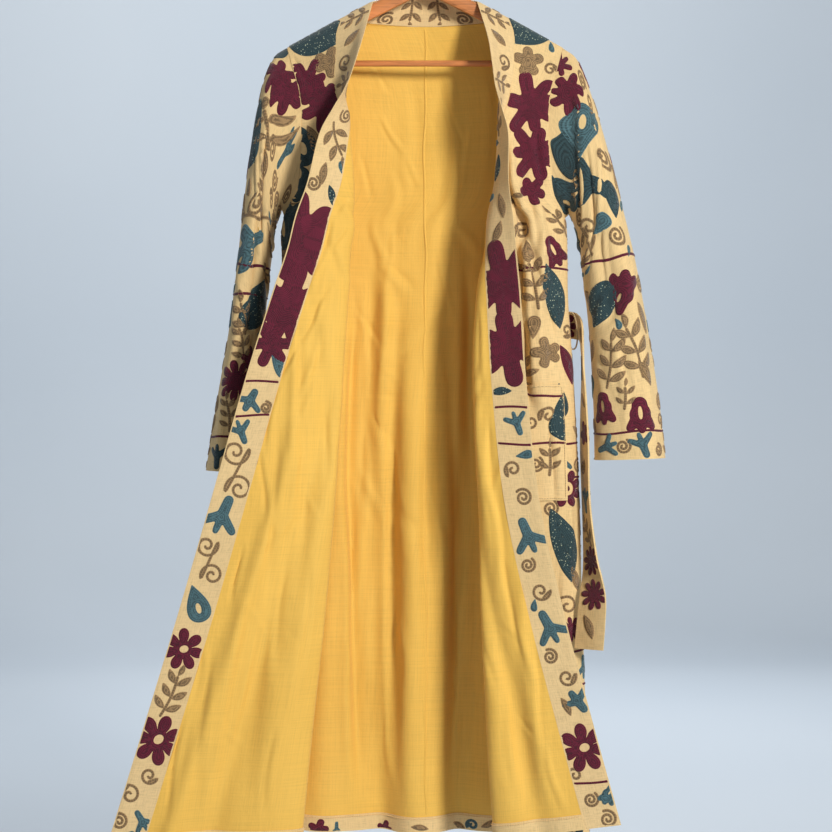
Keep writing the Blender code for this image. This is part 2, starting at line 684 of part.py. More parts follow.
def sleeve_grid(ring_table, first, first_normals):
    """Grid of a sleeve at +X from the armhole to the cuff, with its folds."""
    count = len(first)
    rings = [first] + [plain_ring(count, *row) for row in ring_table]
    places = [0.0]
    for before, after in zip(rings, rings[1:]):
        places.append(places[-1] + np.linalg.norm(after.mean(axis=0) - before.mean(axis=0)))
    places = np.array(places) / places[-1]
    table = [np.concatenate([[place], ring.ravel()]) for place, ring in zip(places, rings)]
    shares = np.concatenate([[0.0, places[1], places[2]],
                             np.linspace(places[2], 1.0, SLEEVE_STEPS - 1)[1:]])
    grid = np.array([read_row(table, share).reshape(count, 3) for share in shares])
    normals = sleeve_normals(grid)
    for i, share in enumerate(shares):
        for j in range(count):
            grid[i, j] += normals[i, j] * fold_height(SLEEVE_FOLDS, j / count, share)
    normals = sleeve_normals(grid)
    normals[0] = first_normals
    return grid, normals


def sleeve_normals(grid):
    normals = grid_normals(grid, 1.0, closed=True)
    centres = grid.mean(axis=1, keepdims=True)
    if np.sum(normals[-1] * (grid[-1] - centres[-1])) < 0.0:
        normals = -normals
    return normals


def belt_sweep(name, stations, material):
    """Flat strip through stations of centre, width direction and width."""
    centres = np.array([station[0] for station in stations])
    widths = np.array([station[1] for station in stations])
    tangents = np.gradient(centres, axis=0)
    tangents /= np.linalg.norm(tangents, axis=1, keepdims=True)
    grid = np.stack([centres - widths, centres, centres + widths], axis=1)
    across = widths / np.linalg.norm(widths, axis=1, keepdims=True)
    normals = np.cross(tangents, across)
    normals /= np.linalg.norm(normals, axis=1, keepdims=True)
    normals = np.repeat(normals[:, None, :], 3, axis=1)
    half = 0.5 * BELT_THICKNESS
    return make_wall(name, grid, normals, (-half, half), material)


def belt_end_stations(table):
    """Hanging end of the belt at +X, from the carrier to its tip."""
    places = np.arange(len(table), dtype=float)
    rows = [(place, *row) for place, row in zip(places, table)]
    stations = []
    steps = BELT_END_STEPS * (len(table) - 1)
    for step in range(steps + 1):
        x, y, z, share, facing = read_row(rows, places[-1] * step / steps)
        angle = math.radians(facing)
        upright = math.cos(min(angle, 0.5 * math.pi))
        if facing <= 90:
            width = np.array([0.0, -math.sin(angle), upright])
        else:
            turn = math.radians(facing - 90)
            width = np.array([math.sin(turn), -math.cos(turn), 0.0])
        stations.append((np.array([x, y, z]), 0.5 * BELT_WIDTH * share * width))
    return stations


def make_belt(material):
    """Belt across the back, through both carriers, with two hanging ends."""
    left = belt_end_stations(BELT_LEFT_END)
    right = [(mirror_x(point), mirror_x(width)) for point, width in belt_end_stations(BELT_RIGHT_END)]
    section = back_section(BELT_ROW)
    length = arc_lengths(section)[-1]
    across = []
    shares = np.linspace(BELT_BACK_START, 1.0 - BELT_BACK_START, BELT_BACK_STEPS)
    run = at_lengths(section, shares * length)
    for index, point in enumerate(run):
        tangent = run[min(index + 1, len(run) - 1)] - run[max(index - 1, 0)]
        outward = np.cross(tangent, np.array([0.0, 0.0, -1.0]))
        outward /= np.linalg.norm(outward)
        lift = OUTER_WALL[1] + BELT_CLEARANCE + max(0.0, fold_height(BACK_FOLDS, shares[index], BELT_ROW))
        across.append((point + outward * lift, np.array([0.0, 0.0, 0.5 * BELT_WIDTH])))
    stations = list(reversed(right)) + across + left
    return belt_sweep("belt", stations, material)


def make_tube(name, path, radius, material, sides):
    """Round bar along a path, with flat ends."""
    path = np.array(path)
    tangents = np.gradient(path, axis=0)
    tangents /= np.linalg.norm(tangents, axis=1, keepdims=True)
    guide = np.array([0.0, 1.0, 0.0])
    grid = []
    for point, tangent in zip(path, tangents):
        first = np.cross(guide, tangent)
        first /= np.linalg.norm(first)
        second = np.cross(tangent, first)
        angles = [2.0 * math.pi * side / sides for side in range(sides)]
        grid.append([point + radius * (math.cos(angle) * first + math.sin(angle) * second) for angle in angles])
    return add_rod(name, np.array(grid), material)


def add_rod(name, grid, material):
    """Closed solid through rings of points, with flat ends."""
    rings, sides = grid.shape[:2]
    triangles = []
    for i in range(rings - 1):
        for j in range(sides):
            k = (j + 1) % sides
            a, b = i * sides + j, i * sides + k
            c, d = b + sides, a + sides
            triangles.append((a, b, c))
            triangles.append((a, c, d))
    last = (rings - 1) * sides
    for j in range(1, sides - 1):
        triangles.append((0, j + 1, j))
        triangles.append((last, last + j, last + j + 1))
    return add_object(name, grid.reshape(-1, 3), triangles, material)


def side_x_at(z):
    """How far out the side seam stands at a height."""
    table = np.array(SIDE_ROWS)
    return float(np.interp(-z, -table[:, 3], table[:, 1]))


def make_carrier(name, side, material):
    """Thread loop at the side seam that holds the belt."""
    path = []
    for step in range(CARRIER_STEPS + 1):
        angle = math.pi * (step / CARRIER_STEPS - 0.5)
        z = CARRIER_Z - CARRIER_HALF_HEIGHT * math.sin(angle)
        root = side_x_at(z) + OUTER_WALL[1] + CARRIER_SEAT
        reach = max(0.0, math.cos(angle)) ** CARRIER_SQUARENESS * CARRIER_STANDOFF
        path.append((side * (root + reach), 0.0, z))
    make_tube(name, path, CARRIER_RADIUS, material, CARRIER_SIDES)


def arm_top(x):
    """Top edge of the hanger's arm, just under the shoulder seam of the cloth."""
    below = (abs(BAND_WALL[0]) + ARM_SEAT) * math.hypot(1.0, SHOULDER_SLOPE)
    line = SHOULDER_Z + SHOULDER_SLOPE * (SHOULDER_X - x) - below
    tip = max(0.0, (x - ARM_TIP_X) / ARM_TIP_RUN)
    return line - ARM_TIP_DROP * tip * tip


def make_arms(material):
    """Both arms of the hanger in one piece, with a boss at each end for the bar."""
    boss_start = BAR_HALF_LENGTH + SEAM_GAP
    places = list(ARM_PLACES) + [boss_start, boss_start + BOSS_STEP, BOSS_OUTER_X, ARM_HALF_SPAN]
    xs = [-x for x in places[:0:-1]] + places
    heights = np.array(ARM_HEIGHTS)
    grid = []
    for x in xs:
        reach = abs(x)
        top = arm_top(reach)
        height = np.interp(reach, heights[:, 0], heights[:, 1])
        if reach > boss_start:
            height = max(height, top - (BAR_Z - BAR_RADIUS - BOSS_WALL))
        if reach == ARM_HALF_SPAN:
            height = ARM_TIP_HEIGHT
        ring = []
        for step in range(ARM_SIDES):
            angle = 2.0 * math.pi * step / ARM_SIDES
            side = math.copysign(abs(math.sin(angle)) ** ARM_SQUARENESS, math.sin(angle))
            level = math.copysign(abs(math.cos(angle)) ** ARM_SQUARENESS, math.cos(angle))
            ring.append((x, ARM_HALF_THICKNESS * side, top - 0.5 * height + 0.5 * height * level))
        grid.append(ring)
    return add_rod("hanger_arms", np.array(grid), material)


def make_hook(material):
    """Wire hook, its inner top at the origin, screwed into the middle of the arms."""
    path_radius = HOOK_INNER_RADIUS + HOOK_WIRE_RADIUS
    path = []
    for step in range(HOOK_STEPS + 1):
        angle = math.radians(HOOK_START_ANGLE + HOOK_TURN * step / HOOK_STEPS)
        path.append((-path_radius * math.cos(angle), 0.0, path_radius * math.sin(angle) - HOOK_INNER_RADIUS))
    path += [(x, 0.0, -HOOK_INNER_RADIUS - below) for x, below in HOOK_NECK]
    path.append((0.0, 0.0, arm_top(0.0) + SEAM_GAP))
    make_tube("hanger_hook", path, HOOK_WIRE_RADIUS, material, HOOK_SIDES)


def make_bar(material):
    path = [(-BAR_HALF_LENGTH, 0.0, BAR_Z), (BAR_HALF_LENGTH, 0.0, BAR_Z)]
    make_tube("hanger_bar", path, BAR_RADIUS, material, BAR_SIDES)


def build():
    clear_scene()
    cotton = make_material("embroidered_cotton", COTTON, 0.85)
    lining = make_material("lining_cotton", LINING_COTTON, 0.8)
    band_cloth = make_material("band_cotton", BAND_COTTON, 0.85)
    wood = make_material("hanger_wood", WOOD, 0.45)
    metal = make_material("hook_metal", METAL, 0.25, 1.0)

    hem_start = PANEL_ROWS.index(HEM_ROW)
    back, back_out = back_panel()
    make_wall("back", back, back_out, OUTER_WALL, cotton)
    make_wall("back_lining", back, back_out, LINING_WALL, lining)
    make_wall("hem_back", back[hem_start:], back_out[hem_start:], HEM_WALL, cotton)

    for side, name, rows, folds, rings in (
            (-1, "right", FRONT_RIGHT_ROWS, FRONT_RIGHT_FOLDS, SLEEVE_RIGHT_RINGS),
            (1, "left", FRONT_LEFT_ROWS, FRONT_LEFT_FOLDS, SLEEVE_LEFT_RINGS)):
        flip = mirror_x if side < 0 else np.copy
        near_back = back if side > 0 else mirror_x(back[:, ::-1])
        near_out = back_out if side > 0 else mirror_x(back_out[:, ::-1])
        whole, whole_out = front_grid(rows, folds)
        panel, band_part = split_at_seam(whole, whole_out, FRONT_STEPS)
        grid = flip(panel)
        normals = flip(whole_out[:, :FRONT_STEPS + 1])
        make_wall("front_" + name, grid, normals, OUTER_WALL, cotton)
        make_wall("front_" + name + "_lining", grid, normals, LINING_WALL, lining)
        make_wall("hem_" + name, grid[hem_start:], normals[hem_start:], HEM_WALL, cotton)
        if side > 0:
            top = PANEL_ROWS.index(POCKET_ROWS[0])
            low = PANEL_ROWS.index(POCKET_ROWS[-1]) + 1
            columns = slice(POCKET_COLUMNS[0], POCKET_COLUMNS[1] + 1)
            make_wall("pocket_left", grid[top:low, columns], normals[top:low, columns], POCKET_WALL, cotton)
        band, band_out = band_grid(band_part, whole_out, near_back, near_out)
        make_wall("band_" + name, flip(band), flip(band_out), BAND_WALL, band_cloth)
        ring, ring_out = armhole_ring(panel, whole_out, near_back, near_out)
        sleeve, sleeve_out = sleeve_grid(rings, ring, ring_out)
        make_wall("sleeve_" + name, flip(sleeve), flip(sleeve_out), SLEEVE_WALL, cotton, closed=True)
        make_carrier("carrier_" + name, side, cotton)

    make_belt(cotton)
    make_arms(wood)
    make_bar(wood)
    make_hook(metal)


build()
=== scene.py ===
"""Looks of the long embroidered coat that hangs open on a wooden hanger.

Fine cloth shells follow the same surfaces as the solids, with listed creases
laid in. Embroidery is raised on them as filled outlines and ribbons.
"""
import math

import bpy
import numpy as np
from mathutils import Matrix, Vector
from mathutils.geometry import delaunay_2d_cdt


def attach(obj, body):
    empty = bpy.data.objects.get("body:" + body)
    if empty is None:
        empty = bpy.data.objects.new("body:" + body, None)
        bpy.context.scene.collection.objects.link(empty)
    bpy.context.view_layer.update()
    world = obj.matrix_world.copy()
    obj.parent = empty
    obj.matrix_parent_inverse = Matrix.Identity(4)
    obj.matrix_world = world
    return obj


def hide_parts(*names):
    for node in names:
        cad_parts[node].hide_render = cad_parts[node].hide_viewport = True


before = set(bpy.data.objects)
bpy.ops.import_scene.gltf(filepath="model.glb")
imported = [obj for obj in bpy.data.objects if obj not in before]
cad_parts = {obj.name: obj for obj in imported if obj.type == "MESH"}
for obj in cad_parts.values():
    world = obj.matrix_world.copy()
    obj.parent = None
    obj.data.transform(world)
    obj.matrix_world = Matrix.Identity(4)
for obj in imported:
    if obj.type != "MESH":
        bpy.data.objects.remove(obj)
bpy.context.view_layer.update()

# Camera of the photograph: level, straight in front.
PIXELS = 832
CAMERA_X = -0.01305
CAMERA_Z = -0.7236
CAMERA_DISTANCE = 2.5
METRES_PER_PIXEL = 0.00145
SENSOR = 36.0

# Walls of cloth, measured outward from the surface between cloth and lining.
OUTER_WALL = (0.0001, 0.00165)
LINING_WALL = (-0.00115, -0.0001)
BAND_WALL = (-0.0013, 0.0015)
HEM_WALL = (-0.00235, -0.00115)
POCKET_WALL = (0.0019, 0.0042)
SLEEVE_WALL = (-0.0009, 0.0011)
SEAM_GAP = 0.0001
BAND_WIDTH = 0.050
HEM_ROW = 13.85
ARMHOLE_END_ROW = 7
NECK_SEAM_X = 0.1188
ARMHOLE_GAP = 0.0003

# How sections bend. Rows are counted as in the tables below, depths and reaches
# are metres, and pulls are shares of the way between two points of a section.
SHOULDER_SLOPE = 0.55
SHOULDER_SLOPE_ROWS = 1.5
SHOULDER_ROLL_DEPTH = 0.0080
SHOULDER_ROLL_ROWS = 0.3
SHOULDER_ROLL_END = 2.5
SHOULDER_FRONT_ROW = 3
SIDE_PULL = 0.85
ROLL_PULL = 0.30
ROLL_REACH = 0.045
FLAP_REACH = 0.035
EDGE_PULL = 1.1
EDGE_DEPTH_SHARE = 0.6
BACK_SIDE_PULL = 0.8
BLADE_ARRIVE_PULL = 0.45
BLADE_LEAVE_PULL = 0.6
BACK_MIDDLE_PULL = 1.1
NECK_SLOPE = (-0.020, 0.060, 0.0)
SEAM_FADE = 0.08

# Armhole and side seam: row, x, y, z, turn of the cloth's edge in degrees.
SIDE_ROWS = (
    (0, 0.1990, 0.000, -0.1910, 0),
    (1, 0.1900, 0.014, -0.2250, 0),
    (2, 0.1815, 0.022, -0.2540, 0),
    (3, 0.1780, 0.026, -0.2820, 0),
    (4, 0.1775, 0.028, -0.3090, 0),
    (5, 0.1780, 0.027, -0.3380, 5),
    (6, 0.1840, 0.019, -0.3980, 30),
    (7, 0.2015, 0.000, -0.4380, 90),
    (8, 0.2050, 0.000, -0.4910, 90),
    (9, 0.2060, 0.000, -0.5580, 90),
    (10, 0.2140, 0.000, -0.6740, 90),
    (11, 0.2220, 0.000, -0.8400, 90),
    (12, 0.2260, 0.000, -0.9970, 90),
    (13, 0.2320, 0.000, -1.1720, 90),
    (14, 0.2370, 0.000, -1.3300, 90),
)
# Fronts: row, roll_x, roll_y, roll_z, turn, edge_x, edge_y, edge_z.
FRONT_RIGHT_ROWS = (
    (0, 0.1050, 0.000, -0.1393, 0, 0.0750, 0.000, -0.1228),
    (1, 0.1100, 0.026, -0.1900, 25, 0.0885, 0.050, -0.1860),
    (2, 0.1150, 0.037, -0.2290, 48, 0.0995, 0.066, -0.2260),
    (3, 0.1170, 0.045, -0.2620, 72, 0.1110, 0.080, -0.2600),
    (4, 0.1090, 0.049, -0.2950, 88, 0.1300, 0.088, -0.2940),
    (5, 0.1065, 0.051, -0.3300, 90, 0.1485, 0.091, -0.3300),
    (6, 0.1015, 0.052, -0.3950, 90, 0.1645, 0.092, -0.3950),
    (7, 0.1025, 0.054, -0.4430, 90, 0.1815, 0.092, -0.4430),
    (8, 0.1065, 0.055, -0.4930, 90, 0.1940, 0.093, -0.4930),
    (9, 0.1095, 0.056, -0.5590, 90, 0.2165, 0.094, -0.5600),
    (10, 0.1165, 0.057, -0.6750, 90, 0.2525, 0.096, -0.6760),
    (11, 0.1250, 0.058, -0.8400, 90, 0.2985, 0.100, -0.8400),
    (12, 0.1405, 0.060, -0.9970, 90, 0.3430, 0.105, -0.9960),
    (13, 0.1600, 0.062, -1.1720, 90, 0.3950, 0.110, -1.1690),
    (14, 0.1755, 0.064, -1.3270, 90, 0.4420, 0.115, -1.3230),
)
FRONT_LEFT_ROWS = (
    (0, 0.1050, 0.000, -0.1393, 0, 0.0750, 0.000, -0.1228),
    (1, 0.1100, 0.026, -0.1900, 25, 0.0890, 0.050, -0.1860),
    (2, 0.1130, 0.038, -0.2290, 48, 0.0945, 0.066, -0.2260),
    (3, 0.1105, 0.047, -0.2620, 70, 0.0985, 0.080, -0.2600),
    (4, 0.1050, 0.052, -0.2950, 84, 0.1075, 0.090, -0.2940),
    (5, 0.1035, 0.052, -0.3300, 90, 0.1160, 0.092, -0.3300),
    (6, 0.0985, 0.050, -0.3950, 90, 0.1165, 0.090, -0.3950),
    (7, 0.0885, 0.050, -0.4430, 90, 0.1225, 0.088, -0.4430),
    (8, 0.0845, 0.052, -0.4930, 90, 0.1275, 0.086, -0.4930),
    (9, 0.0730, 0.054, -0.5590, 90, 0.1340, 0.085, -0.5600),
    (10, 0.0680, 0.055, -0.6750, 90, 0.1415, 0.085, -0.6760),
    (11, 0.0735, 0.056, -0.8400, 90, 0.1590, 0.088, -0.8380),
    (12, 0.0785, 0.058, -0.9970, 90, 0.1915, 0.092, -0.9900),
    (13, 0.0890, 0.060, -1.1720, 90, 0.2345, 0.098, -1.1550),
    (14, 0.0975, 0.062, -1.3200, 90, 0.2720, 0.104, -1.2920),
)
# Back: row, blade_x, blade_y, blade_z, middle_y, middle_z.
BACK_ROWS = (
    (0, 0.1200, 0.000, -0.14755, 0.034, -0.1520),
    (1, 0.1200, 0.021, -0.1930, 0.038, -0.1950),
    (2, 0.1190, 0.029, -0.2300, 0.040, -0.2320),
    (3, 0.1180, 0.033, -0.2640, 0.042, -0.2660),
    (4, 0.1170, 0.035, -0.2970, 0.043, -0.2990),
    (5, 0.1170, 0.036, -0.3320, 0.044, -0.3330),
    (6, 0.1170, 0.037, -0.3970, 0.044, -0.3970),
    (7, 0.1180, 0.037, -0.4440, 0.044, -0.4440),
    (8, 0.1190, 0.038, -0.4940, 0.045, -0.4940),
    (9, 0.1200, 0.039, -0.5600, 0.045, -0.5600),
    (10, 0.1220, 0.040, -0.6760, 0.046, -0.6760),
    (11, 0.1240, 0.042, -0.8420, 0.046, -0.8420),
    (12, 0.1260, 0.043, -1.0000, 0.045, -1.0000),
    (13, 0.1290, 0.044, -1.1760, 0.044, -1.1760),
    (14, 0.1320, 0.045, -1.3350, 0.043, -1.3370),
)
# Folds: across_top, across_end, row_top, row_end, width, height.
BACK_FOLDS = (
    (0.385, 0.365, 9.5, 16.0, 0.050, 0.018),
    (0.500, 0.455, 8.0, 16.0, 0.060, -0.012),
    (0.590, 0.600, 9.5, 16.0, 0.042, 0.018),
    (0.700, 0.725, 9.0, 16.0, 0.055, -0.008),
    (0.215, 0.200, 8.5, 16.0, 0.060, -0.009),
    (0.130, 0.110, 10.5, 16.0, 0.040, 0.010),
    (0.850, 0.870, 10.0, 16.0, 0.040, 0.011),
)
FRONT_RIGHT_FOLDS = (
    (0.620, 0.760, 9.0, 15.5, 0.070, 0.010),
    (0.800, 0.930, 9.5, 15.0, 0.045, -0.007),
    (0.180, 0.160, 8.0, 16.0, 0.060, 0.008),
)
FRONT_LEFT_FOLDS = (
    (0.360, 0.300, 6.0, 10.4, 0.050, 0.009),
    (0.560, 0.520, 6.0, 10.8, 0.045, -0.008),
    (0.200, 0.170, 9.5, 16.0, 0.060, 0.004),
    (0.780, 0.800, 10.5, 15.5, 0.060, 0.007),
)
# Sleeve rings: outer_x, outer_z, inner_x, inner_z, mid_y, front, back.
SLEEVE_LEFT_RINGS = (
    (0.2190, -0.2080, 0.2090, -0.4250, 0.000, 0.036, 0.036),
    (0.2300, -0.2330, 0.2150, -0.4400, 0.000, 0.042, 0.041),
    (0.2430, -0.2700, 0.2210, -0.4580, 0.000, 0.046, 0.044),
    (0.2600, -0.3270, 0.2260, -0.4830, 0.000, 0.048, 0.046),
    (0.2800, -0.4050, 0.2290, -0.5150, -0.002, 0.047, 0.046),
    (0.3020, -0.4960, 0.2350, -0.5620, -0.003, 0.045, 0.045),
    (0.3210, -0.6000, 0.2410, -0.6330, -0.004, 0.044, 0.044),
    (0.3360, -0.6950, 0.2450, -0.7080, -0.005, 0.043, 0.043),
    (0.3460, -0.7840, 0.2465, -0.7870, -0.006, 0.043, 0.043),
)
SLEEVE_RIGHT_RINGS = (
    (0.2190, -0.2080, 0.2090, -0.4250, 0.000, 0.036, 0.036),
    (0.2300, -0.2330, 0.2150, -0.4400, 0.000, 0.042, 0.041),
    (0.2390, -0.2700, 0.2200, -0.4580, 0.000, 0.045, 0.045),
    (0.2490, -0.3270, 0.2225, -0.4830, 0.001, 0.046, 0.047),
    (0.2600, -0.4050, 0.2265, -0.5150, 0.002, 0.046, 0.047),
    (0.2700, -0.4960, 0.2315, -0.5620, 0.003, 0.045, 0.046),
    (0.2830, -0.6000, 0.2375, -0.6330, 0.003, 0.044, 0.045),
    (0.3000, -0.7000, 0.2405, -0.7130, 0.002, 0.043, 0.044),
    (0.3160, -0.8020, 0.2420, -0.8050, 0.000, 0.043, 0.043),
)
# Sleeve folds: around_top, around_end, along_top, along_end, width, height.
SLEEVE_FOLDS = (
    (0.165, 0.190, 0.30, 1.15, 0.055, 0.006),
    (0.300, 0.290, 0.10, 0.62, 0.050, -0.008),
    (0.640, 0.660, 0.20, 1.10, 0.060, -0.006),
    (0.820, 0.800, 0.35, 1.15, 0.060, 0.005),
)

# Belt.
BELT_WIDTH = 0.045
BELT_THICKNESS = 0.0024
BELT_ROW = 9.28
BELT_CLEARANCE = 0.0024
BELT_EASE = 0.0013
BELT_SHARES = (0.11, 0.89)
BELT_STATIONS = 90
# Hanging ends: x, y, z, width share, facing in degrees.
BELT_LEFT_END = (
    (0.2195, 0.0240, -0.5915, 0.86, 0),
    (0.2262, 0.0040, -0.6000, 0.72, 35),
    (0.2272, -0.0080, -0.6240, 0.72, 78),
    (0.2282, -0.0110, -0.6650, 0.85, 92),
    (0.2300, -0.0130, -0.7500, 0.95, 97),
    (0.2315, -0.0170, -0.8400, 1.00, 100),
    (0.2365, -0.0290, -0.9200, 1.00, 106),
    (0.2390, -0.0380, -0.9550, 1.00, 120),
    (0.2385, -0.0440, -0.9850, 1.00, 140),
    (0.2360, -0.0450, -1.0200, 1.00, 148),
    (0.2330, -0.0450, -1.0560, 1.00, 150),
)
BELT_RIGHT_END = (
    (0.2195, 0.0240, -0.5915, 0.86, 0),
    (0.2262, 0.0040, -0.6000, 0.72, 35),
    (0.2270, -0.0060, -0.6240, 0.72, 78),
    (0.2275, -0.0080, -0.6650, 0.85, 90),
    (0.2290, -0.0060, -0.7500, 0.95, 88),
    (0.2310, -0.0040, -0.8400, 1.00, 86),
    (0.2335, -0.0060, -0.9300, 1.00, 92),
    (0.2350, -0.0080, -1.0200, 1.00, 98),
    (0.2370, -0.0100, -1.0980, 1.00, 104),
)

# Fineness of the shells.
FINE_ROWS = np.concatenate([np.linspace(0.0, 0.3, 10)[:-1], np.linspace(0.3, 1.0, 8)[:-1],
                            np.linspace(1.0, 9.0, 104)[:-1], np.linspace(9.0, HEM_ROW, 142)[:-1],
                            np.linspace(HEM_ROW, 14.0, 7)])
SECTION_STEPS = 60
FRONT_COLUMNS = 90
BACK_COLUMNS = 135
BAND_COLUMNS = 17
SLEEVE_COLUMNS = 92
SLEEVE_ROWS = 132


def smooth_step(value):
    value = np.clip(value, 0.0, 1.0)
    return value * value * (3.0 - 2.0 * value)


def read_row(rows, row):
    """Values of a table at any row, by a smooth curve through its rows."""
    table = np.array(rows, dtype=float)
    places = table[:, 0]
    values = table[:, 1:]
    slopes = np.gradient(values, places, axis=0)
    index = int(np.clip(np.searchsorted(places, row, side="right") - 1, 0, len(places) - 2))
    step = places[index + 1] - places[index]
    share = (row - places[index]) / step
    return hermite(values[index], slopes[index] * step, values[index + 1], slopes[index + 1] * step, share)


def hermite(start, start_slope, end, end_slope, share):
    square = share * share
    cube = square * share
    return ((2 * cube - 3 * square + 1) * start + (cube - 2 * square + share) * start_slope
            + (3 * square - 2 * cube) * end + (cube - square) * end_slope)


def hermite_run(start, start_slope, end, end_slope, steps):
    share = np.linspace(0.0, 1.0, steps + 1)[:, None]
    return hermite(start[None], start_slope[None], end[None], end_slope[None], share)


def shoulder_roll(row):
    """Extra depth just under the shoulder line, where cloth bends over the arm."""
    rise = 1.0 - min(row / SHOULDER_ROLL_ROWS, 1.0)
    fade = max(0.0, 1.0 - row / SHOULDER_ROLL_END)
    return SHOULDER_ROLL_DEPTH * math.sqrt(1.0 - rise * rise) * fade


def side_point(row, depth_sign):
    """Point on the armhole or side seam, and the cloth's direction there."""
    x, y, z, turn = read_row(SIDE_ROWS, row)
    y = y + shoulder_roll(row) * (1.0 if row < SHOULDER_FRONT_ROW else 0.0)
    if row >= ARMHOLE_END_ROW:
        y = 0.0
    y = max(y, 0.5 * SEAM_GAP)
    angle = math.radians(turn)
    rise = SHOULDER_SLOPE * max(0.0, 1.0 - row / SHOULDER_SLOPE_ROWS)
    direction = np.array([-math.cos(angle), depth_sign * math.sin(angle), rise * math.cos(angle)])
    return np.array([x, depth_sign * y, z]), direction


def front_section(rows, row, steps=SECTION_STEPS):
    """Dense section of a front at +X, from the side seam to the free edge."""
    side, inward = side_point(row, -1.0)
    roll_x, roll_y, roll_z, turn, edge_x, edge_y, edge_z = read_row(rows, row)
    depth = shoulder_roll(row)
    roll = np.array([roll_x, min(-roll_y - depth, -0.5 * SEAM_GAP), roll_z])
    edge = np.array([edge_x, min(-edge_y - depth * EDGE_DEPTH_SHARE, -0.5 * SEAM_GAP), edge_z])
    angle = math.radians(turn)
    rise = SHOULDER_SLOPE * math.cos(angle) * max(0.0, 1 - row)
    forward = np.array([-math.cos(angle), -math.sin(angle), rise])
    reach = np.linalg.norm(roll - side)
    flap = np.linalg.norm(edge - roll)
    arrive = forward * (ROLL_PULL * reach + ROLL_REACH)
    leave = forward * (ROLL_PULL * flap + FLAP_REACH)
    first = hermite_run(side, inward * reach * SIDE_PULL, roll, arrive, steps)
    second = hermite_run(roll, leave, edge, (edge - roll) * EDGE_PULL, steps)
    if row == 0:
        first = hermite_run(side, roll - side, roll, roll - side, steps)
        second = hermite_run(roll, edge - roll, edge, edge - roll, steps)
    return np.vstack([first, second[1:]])


def back_section(row, steps=SECTION_STEPS):
    """Dense section of the back, from the side seam at -X to the one at +X."""
    side, inward = side_point(row, 1.0)
    blade_x, blade_y, blade_z, middle_y, middle_z = read_row(BACK_ROWS, row)
    blade = np.array([blade_x, max(blade_y + shoulder_roll(row), 0.5 * SEAM_GAP), blade_z])
    middle = np.array([0.0, middle_y, middle_z])
    reach = np.linalg.norm(blade - side)
    low = min(1.0, row)
    start = (blade - side) * (1.0 - low) + inward * reach * BACK_SIDE_PULL * low
    arrive = (blade - side) * (1.0 - low) + (middle - side) * BLADE_ARRIVE_PULL * low
    slope = np.array(NECK_SLOPE) * (1.0 - low) + (middle - side) * BLADE_LEAVE_PULL * low
    outer = hermite_run(side, start, blade, arrive, steps)
    inner = hermite_run(blade, slope, middle, np.array([-blade_x * BACK_MIDDLE_PULL, 0.0, 0.0]), steps)
    half = np.vstack([outer, inner[1:]])
    return np.vstack([half * np.array([-1.0, 1.0, 1.0]), half[-2::-1]])


def arc_lengths(points):
    steps = np.linalg.norm(np.diff(points, axis=0), axis=1)
    return np.concatenate([[0.0], np.cumsum(steps)])


def at_lengths(points, lengths):
    along = arc_lengths(points)
    return np.stack([np.interp(lengths, along, points[:, axis]) for axis in range(3)], axis=1)


# Shares of a fold's length over which it rises at its start and fades at its end.
FOLD_START = 0.35
FOLD_END = 0.06

# A crease: shares of its length over which it rises and fades, how its width
# grows along it, the hollow beside it, and how far and how often it wavers.
CREASE_START = 0.3
CREASE_END = 0.35
CREASE_WIDTHS = (0.65, 0.5)
CREASE_SIDE_DEPTH = 0.45
CREASE_SIDE_PLACE = 1.7
CREASE_WAVER_SHARE = 0.035
CREASE_WAVER_MOST = 0.004
CREASE_WAVER_TURNS = 4.4
CREASE_WAVER_STEP = 1.7


def fold_field(folds, across, rows):
    """Outward height of all the folds over arrays of places and rows."""
    total = np.zeros(np.broadcast(across, rows).shape)
    for across_top, across_end, row_top, row_end, width, height in folds:
        share = (rows - row_top) / (row_end - row_top)
        inside = (share > 0.0) & (share < 1.0)
        middle = across_top + (across_end - across_top) * share
        offset = (across - middle) / width
        fade = np.minimum(1.0, share / FOLD_START) * np.minimum(1.0, (1.0 - share) / FOLD_END)
        bump = height * np.exp(-offset * offset) * fade * fade * (3.0 - 2.0 * fade)
        total += np.where(inside, bump, 0.0)
    return total


def grid_normals(grid, sign, closed=False):
    if closed:
        wrapped = np.concatenate([grid[:, -1:], grid, grid[:, :1]], axis=1)
        across = wrapped[:, 2:] - wrapped[:, :-2]
    else:
        across = np.gradient(grid, axis=1)
    down = np.gradient(grid, axis=0)
    normals = np.cross(across, down) * sign
    return normals / np.maximum(np.linalg.norm(normals, axis=2, keepdims=True), 1e-12)


def flatten_normal(normals, axis):
    normals[..., axis] = 0.0
    normals /= np.maximum(np.linalg.norm(normals, axis=-1, keepdims=True), 1e-12)


